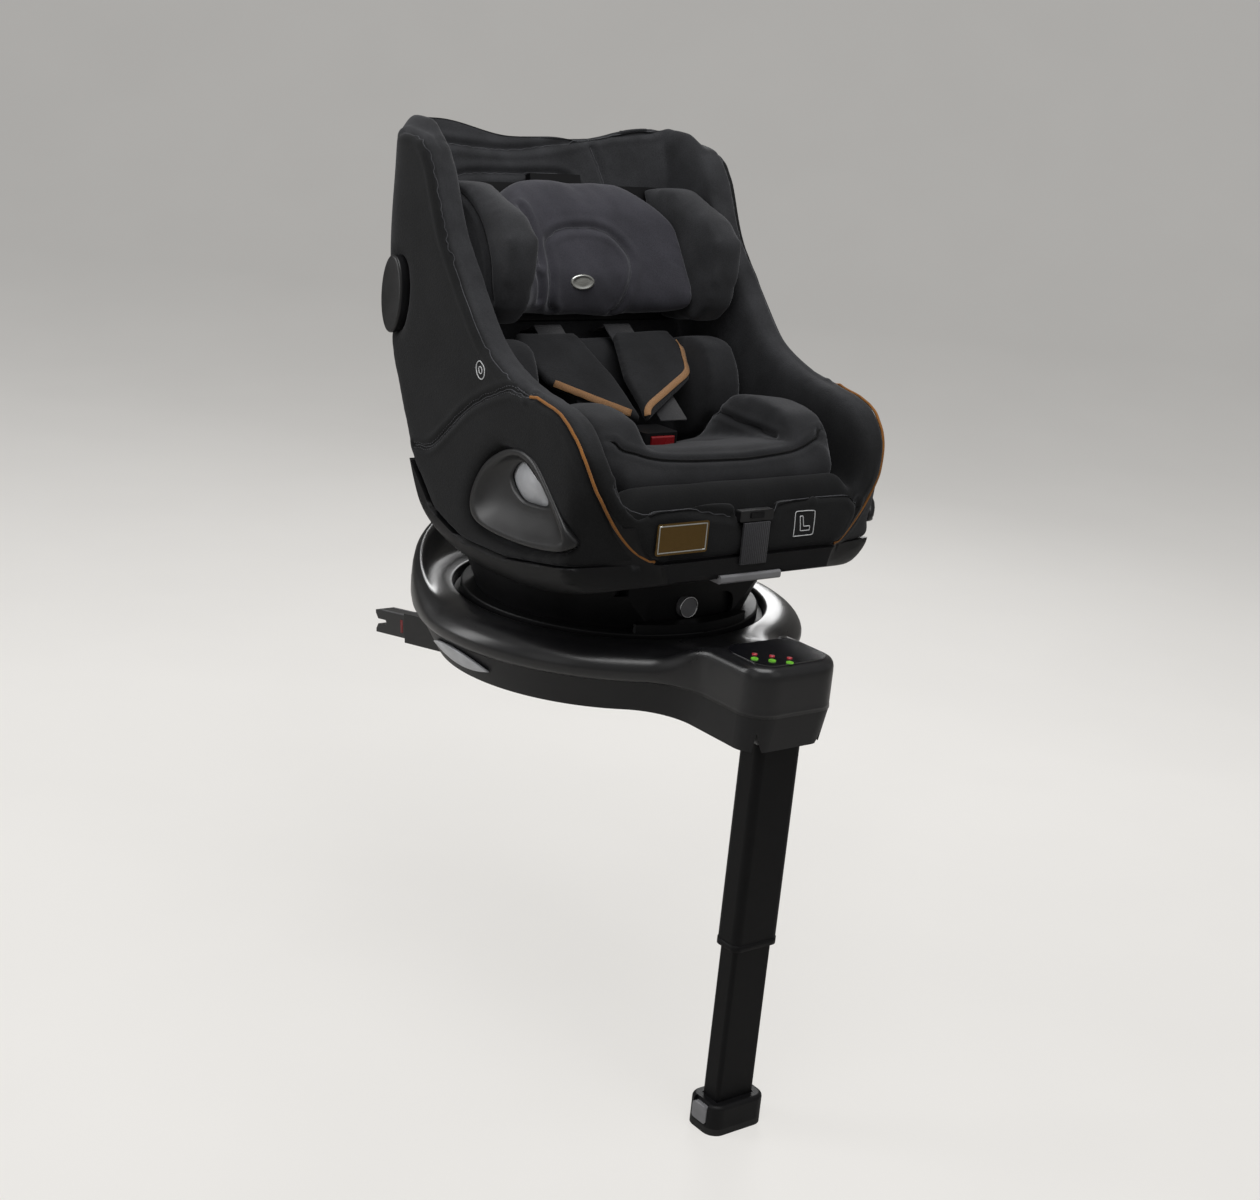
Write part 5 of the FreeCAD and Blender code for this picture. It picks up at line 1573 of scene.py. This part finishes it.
class SEAT_OT_head(bpy.types.Operator):
    """Head wings and the soft head cushion"""
    bl_idname = "seat.head"
    bl_label = "Head support"

    def execute(self, context):
        for side, name in ((-1, "right"), (1, "left")):
            source = node_copy("cells", f"head_wing_{name}")
            wing = padded_form(f"head_wing_cover_{name}", source, finish("wing"), rounds=6, pressure=1.4,
                               cap=0.003)
            crumple(wing, 0.05, 0.0010, 1.1 + side)
            low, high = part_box(f"head_wing_{name}")
            x = 1000 * (low.x if side < 0 else high.x)
            outline = [(162, 447), (117, 439), (79, 417), (53, 379), (43, 335)]
            seam(wing, path([(x, y, z) for y, z in outline]), "headrest", depth=0.0022)
            settle(wing, "headrest", "cover_charcoal", f"head_wing_{name}")
        cushion = padded_form("head_cushion", node_copy("cells", "head_insert"), finish("head"), rounds=12,
                              pressure=2.4, cap=0.006)
        self.wrap(cushion)
        crumple(cushion, 0.040, 0.0022, 4.2)
        crumple(cushion, 0.016, 0.0007, 2.2)
        seam(cushion, path(HEAD_ARCH), "headrest", "grey_thread", depth=0.0032, width=0.0042)
        for pleat in HEAD_PLEATS:
            seam(cushion, path(pleat), "headrest", thread=False, depth=0.0036, width=0.0046)
        settle(cushion, "headrest", "insert_charcoal", "head_insert")
        self.badge(surface_of(cushion))
        for number, (start, end) in enumerate(HEAD_LOOPS):
            line = np.linspace(place(*start), place(*end), 8)
            sides = np.tile((0.0, -0.5, 0.86), (len(line), 1))
            loop = swept(f"head_loop_{number}", line, sides, flat_section(0.007, 0.0014), finish("band"))
            settle(loop, "headrest", "bronze")
        return {"FINISHED"}

    def wrap(self, cushion):
        """Bend the cushion into a U with rounded side lobes."""
        values = corners(cushion)
        middle = values.mean(axis=0)
        out = np.clip((np.abs(values[:, 0]) - 0.055) / 0.065, 0, 1.2) ** 2
        lean = math.radians(20)
        values[:, 1] -= 0.040 * out * math.cos(lean)
        values[:, 2] -= 0.040 * out * math.sin(lean)
        centre = middle[2] - 0.040 * out * math.sin(lean)
        values[:, 2] = centre + (values[:, 2] - centre) * (1 - 0.30 * out)
        move_corners(cushion, values)
        relax(cushion, 4)

    def badge(self, tree):
        """Plain oval badge on the head cushion."""
        centre = place(-18, 60, 346)
        spot, side, _, _ = tree.ray_cast(centre, Vector((0.0, 1.0, 0.1)).normalized())
        if spot is None:
            spot, side, _, _ = tree.find_nearest(place(-18, 91, 346))
        across = Vector((1, 0, 0)) - side * side.x
        across.normalize()
        rise = side.cross(across)
        rings = []
        turns = np.linspace(0, 2 * math.pi, 48, endpoint=False)
        for share, lift in ((1.0, -0.0012), (1.0, 0.0006), (0.93, 0.0016), (0.80, 0.0017), (0.74, 0.0012),
                            (0.40, 0.0017)):
            rings.append([spot + side * lift + across * (0.016 * share * math.cos(t))
                          + rise * (0.009 * share * math.sin(t)) for t in turns])
        vertices = [point for ring in rings for point in ring]
        count = len(turns)
        faces = [[r * count + k, r * count + (k + 1) % count, (r + 1) * count + (k + 1) % count,
                  (r + 1) * count + k] for r in range(len(rings) - 1) for k in range(count)]
        faces.append(list(range(count)))
        faces.append([(len(rings) - 1) * count + k for k in range(count)])
        item = piece("head_badge", vertices, faces, finish("badge"))
        outward(item)
        settle(item, "headrest", "pale_plastic")


# ---------------------------------------------------------------- harness

class SEAT_OT_harness(bpy.types.Operator):
    """Shoulder pads, belts, buckle and crotch strap"""
    bl_idname = "seat.harness"
    bl_label = "Harness"

    def execute(self, context):
        for name in ("right", "left"):
            pad = padded_form(f"shoulder_pad_cover_{name}", node_copy("cells", f"shoulder_pad_{name}"),
                              finish("pad"), voxel=0.003, rounds=5)
            crumple(pad, 0.03, 0.0008, 2.0)
            settle(pad, "seat", "cover_black", f"shoulder_pad_{name}")
            belt = node_copy(f"shoulder_webbing_{name}", f"shoulder_belt_{name}")
            adopt_copy(belt, finish("webbing"))
            bevelled(belt, 0.0005, 2)
            settle(belt, "seat", "webbing", f"shoulder_belt_{name}")
            self.ribbon(pad, name)
        for node, name in (("buckle", "shell"), ("buckle_button", "red"), ("crotch_strap", "pad")):
            refinish(node, name)
        return {"FINISHED"}

    def ribbon(self, pad, name):
        """Tan ribbon around the lower edge of a shoulder pad."""
        slope = math.radians(34.8)

        def on_plane(x, u, lift=0.0):
            return place(x, 78 - u * math.cos(slope) - lift * math.sin(slope),
                         295 - u * math.sin(slope) + lift * math.cos(slope))

        spots = ([(125, 18), (106, 74), (-13, 143)] if name == "left" else [(-106, 91), (-19, 143)])
        tree = surface_of(pad)
        points = []
        for a, b in zip(spots, spots[1:]):
            points += [on_plane(a[0] + (b[0] - a[0]) * t, a[1] + (b[1] - a[1]) * t, 6)
                       for t in np.linspace(0, 1, 20, endpoint=False)]
        points.append(on_plane(*spots[-1], 6))
        centre = np.array(on_plane(*np.mean([(45, 40)] if name == "left" else [(-60, 70)], axis=0)))
        line = np.array(points)
        line += (centre - line) * 0.06
        line, sides = laid_on(tree, line, 0.0001, 2)
        section = flat_section(0.008, 0.0010, 0.0004)
        band = swept(f"shoulder_ribbon_{name}", line, sides, section, finish("band"))
        settle(band, "seat", "bronze")


# ---------------------------------------------------------------- sewing, panel and main

class SEAT_OT_sewing(bpy.types.Operator):
    """Turn the collected seam lines into threads, stitches and piping"""
    bl_idname = "seat.sewing"
    bl_label = "Sewing"

    def execute(self, context):
        values = sizes()
        for (body, material), rows in STITCHES.items():
            mesh = edge_lines("stitches", rows)
            item = grown(f"stitches_{body}_{material}", stitch_tree, mesh, Length=values.stitch,
                         Pitch=values.pitch, Thread=values.thread, Material=finish(material))
            settle(item, body, "cover_black")
        for (body, material), rows in PIPES.items():
            for number, radius in enumerate(sorted({radius for _, radius in rows})):
                mesh = edge_lines("cords", [line for line, size in rows if size == radius])
                item = grown(f"cord_{body}_{material}_{number}", piping_tree, mesh, Radius=radius,
                             Material=finish(material))
                settle(item, body, "bronze" if material == "piping" else "cover_black")
        return {"FINISHED"}


OPERATORS = (SEAT_OT_stage, SEAT_OT_base, SEAT_OT_turntable, SEAT_OT_leg, SEAT_OT_latches, SEAT_OT_shell,
             SEAT_OT_cover, SEAT_OT_handles, SEAT_OT_back, SEAT_OT_front, SEAT_OT_seat_insert, SEAT_OT_head,
             SEAT_OT_harness, SEAT_OT_sewing)


class SEAT_PT_panel(bpy.types.Panel):
    """Buttons and settings of the car seat"""
    bl_idname = "SEAT_PT_panel"
    bl_label = "Car seat"
    bl_space_type = "VIEW_3D"
    bl_region_type = "UI"
    bl_category = "Car seat"

    def draw(self, context):
        layout = self.layout
        for settings in (context.scene.seat_colours, context.scene.seat_sizes, context.scene.seat_stage):
            box = layout.box()
            for name in settings.__annotations__:
                box.prop(settings, name)
        for operator in OPERATORS:
            layout.operator(operator.bl_idname)


GROUPS = (SeatColours, SeatSizes, StageSettings)


def register():
    """Register the settings, the operators and the panel."""
    for item in (*GROUPS, *OPERATORS, SEAT_PT_panel):
        bpy.utils.register_class(item)
    bpy.types.Scene.seat_colours = PointerProperty(type=SeatColours)
    bpy.types.Scene.seat_sizes = PointerProperty(type=SeatSizes)
    bpy.types.Scene.seat_stage = PointerProperty(type=StageSettings)


def unregister():
    """Remove what register added."""
    del bpy.types.Scene.seat_stage, bpy.types.Scene.seat_sizes, bpy.types.Scene.seat_colours
    for item in (SEAT_PT_panel, *reversed(OPERATORS), *reversed(GROUPS)):
        bpy.utils.unregister_class(item)


def main():
    """Build every piece in order."""
    register()
    for operator in OPERATORS:
        group, name = operator.bl_idname.split(".")
        getattr(getattr(bpy.ops, group), name)()


if __name__ == "__main__":
    main()
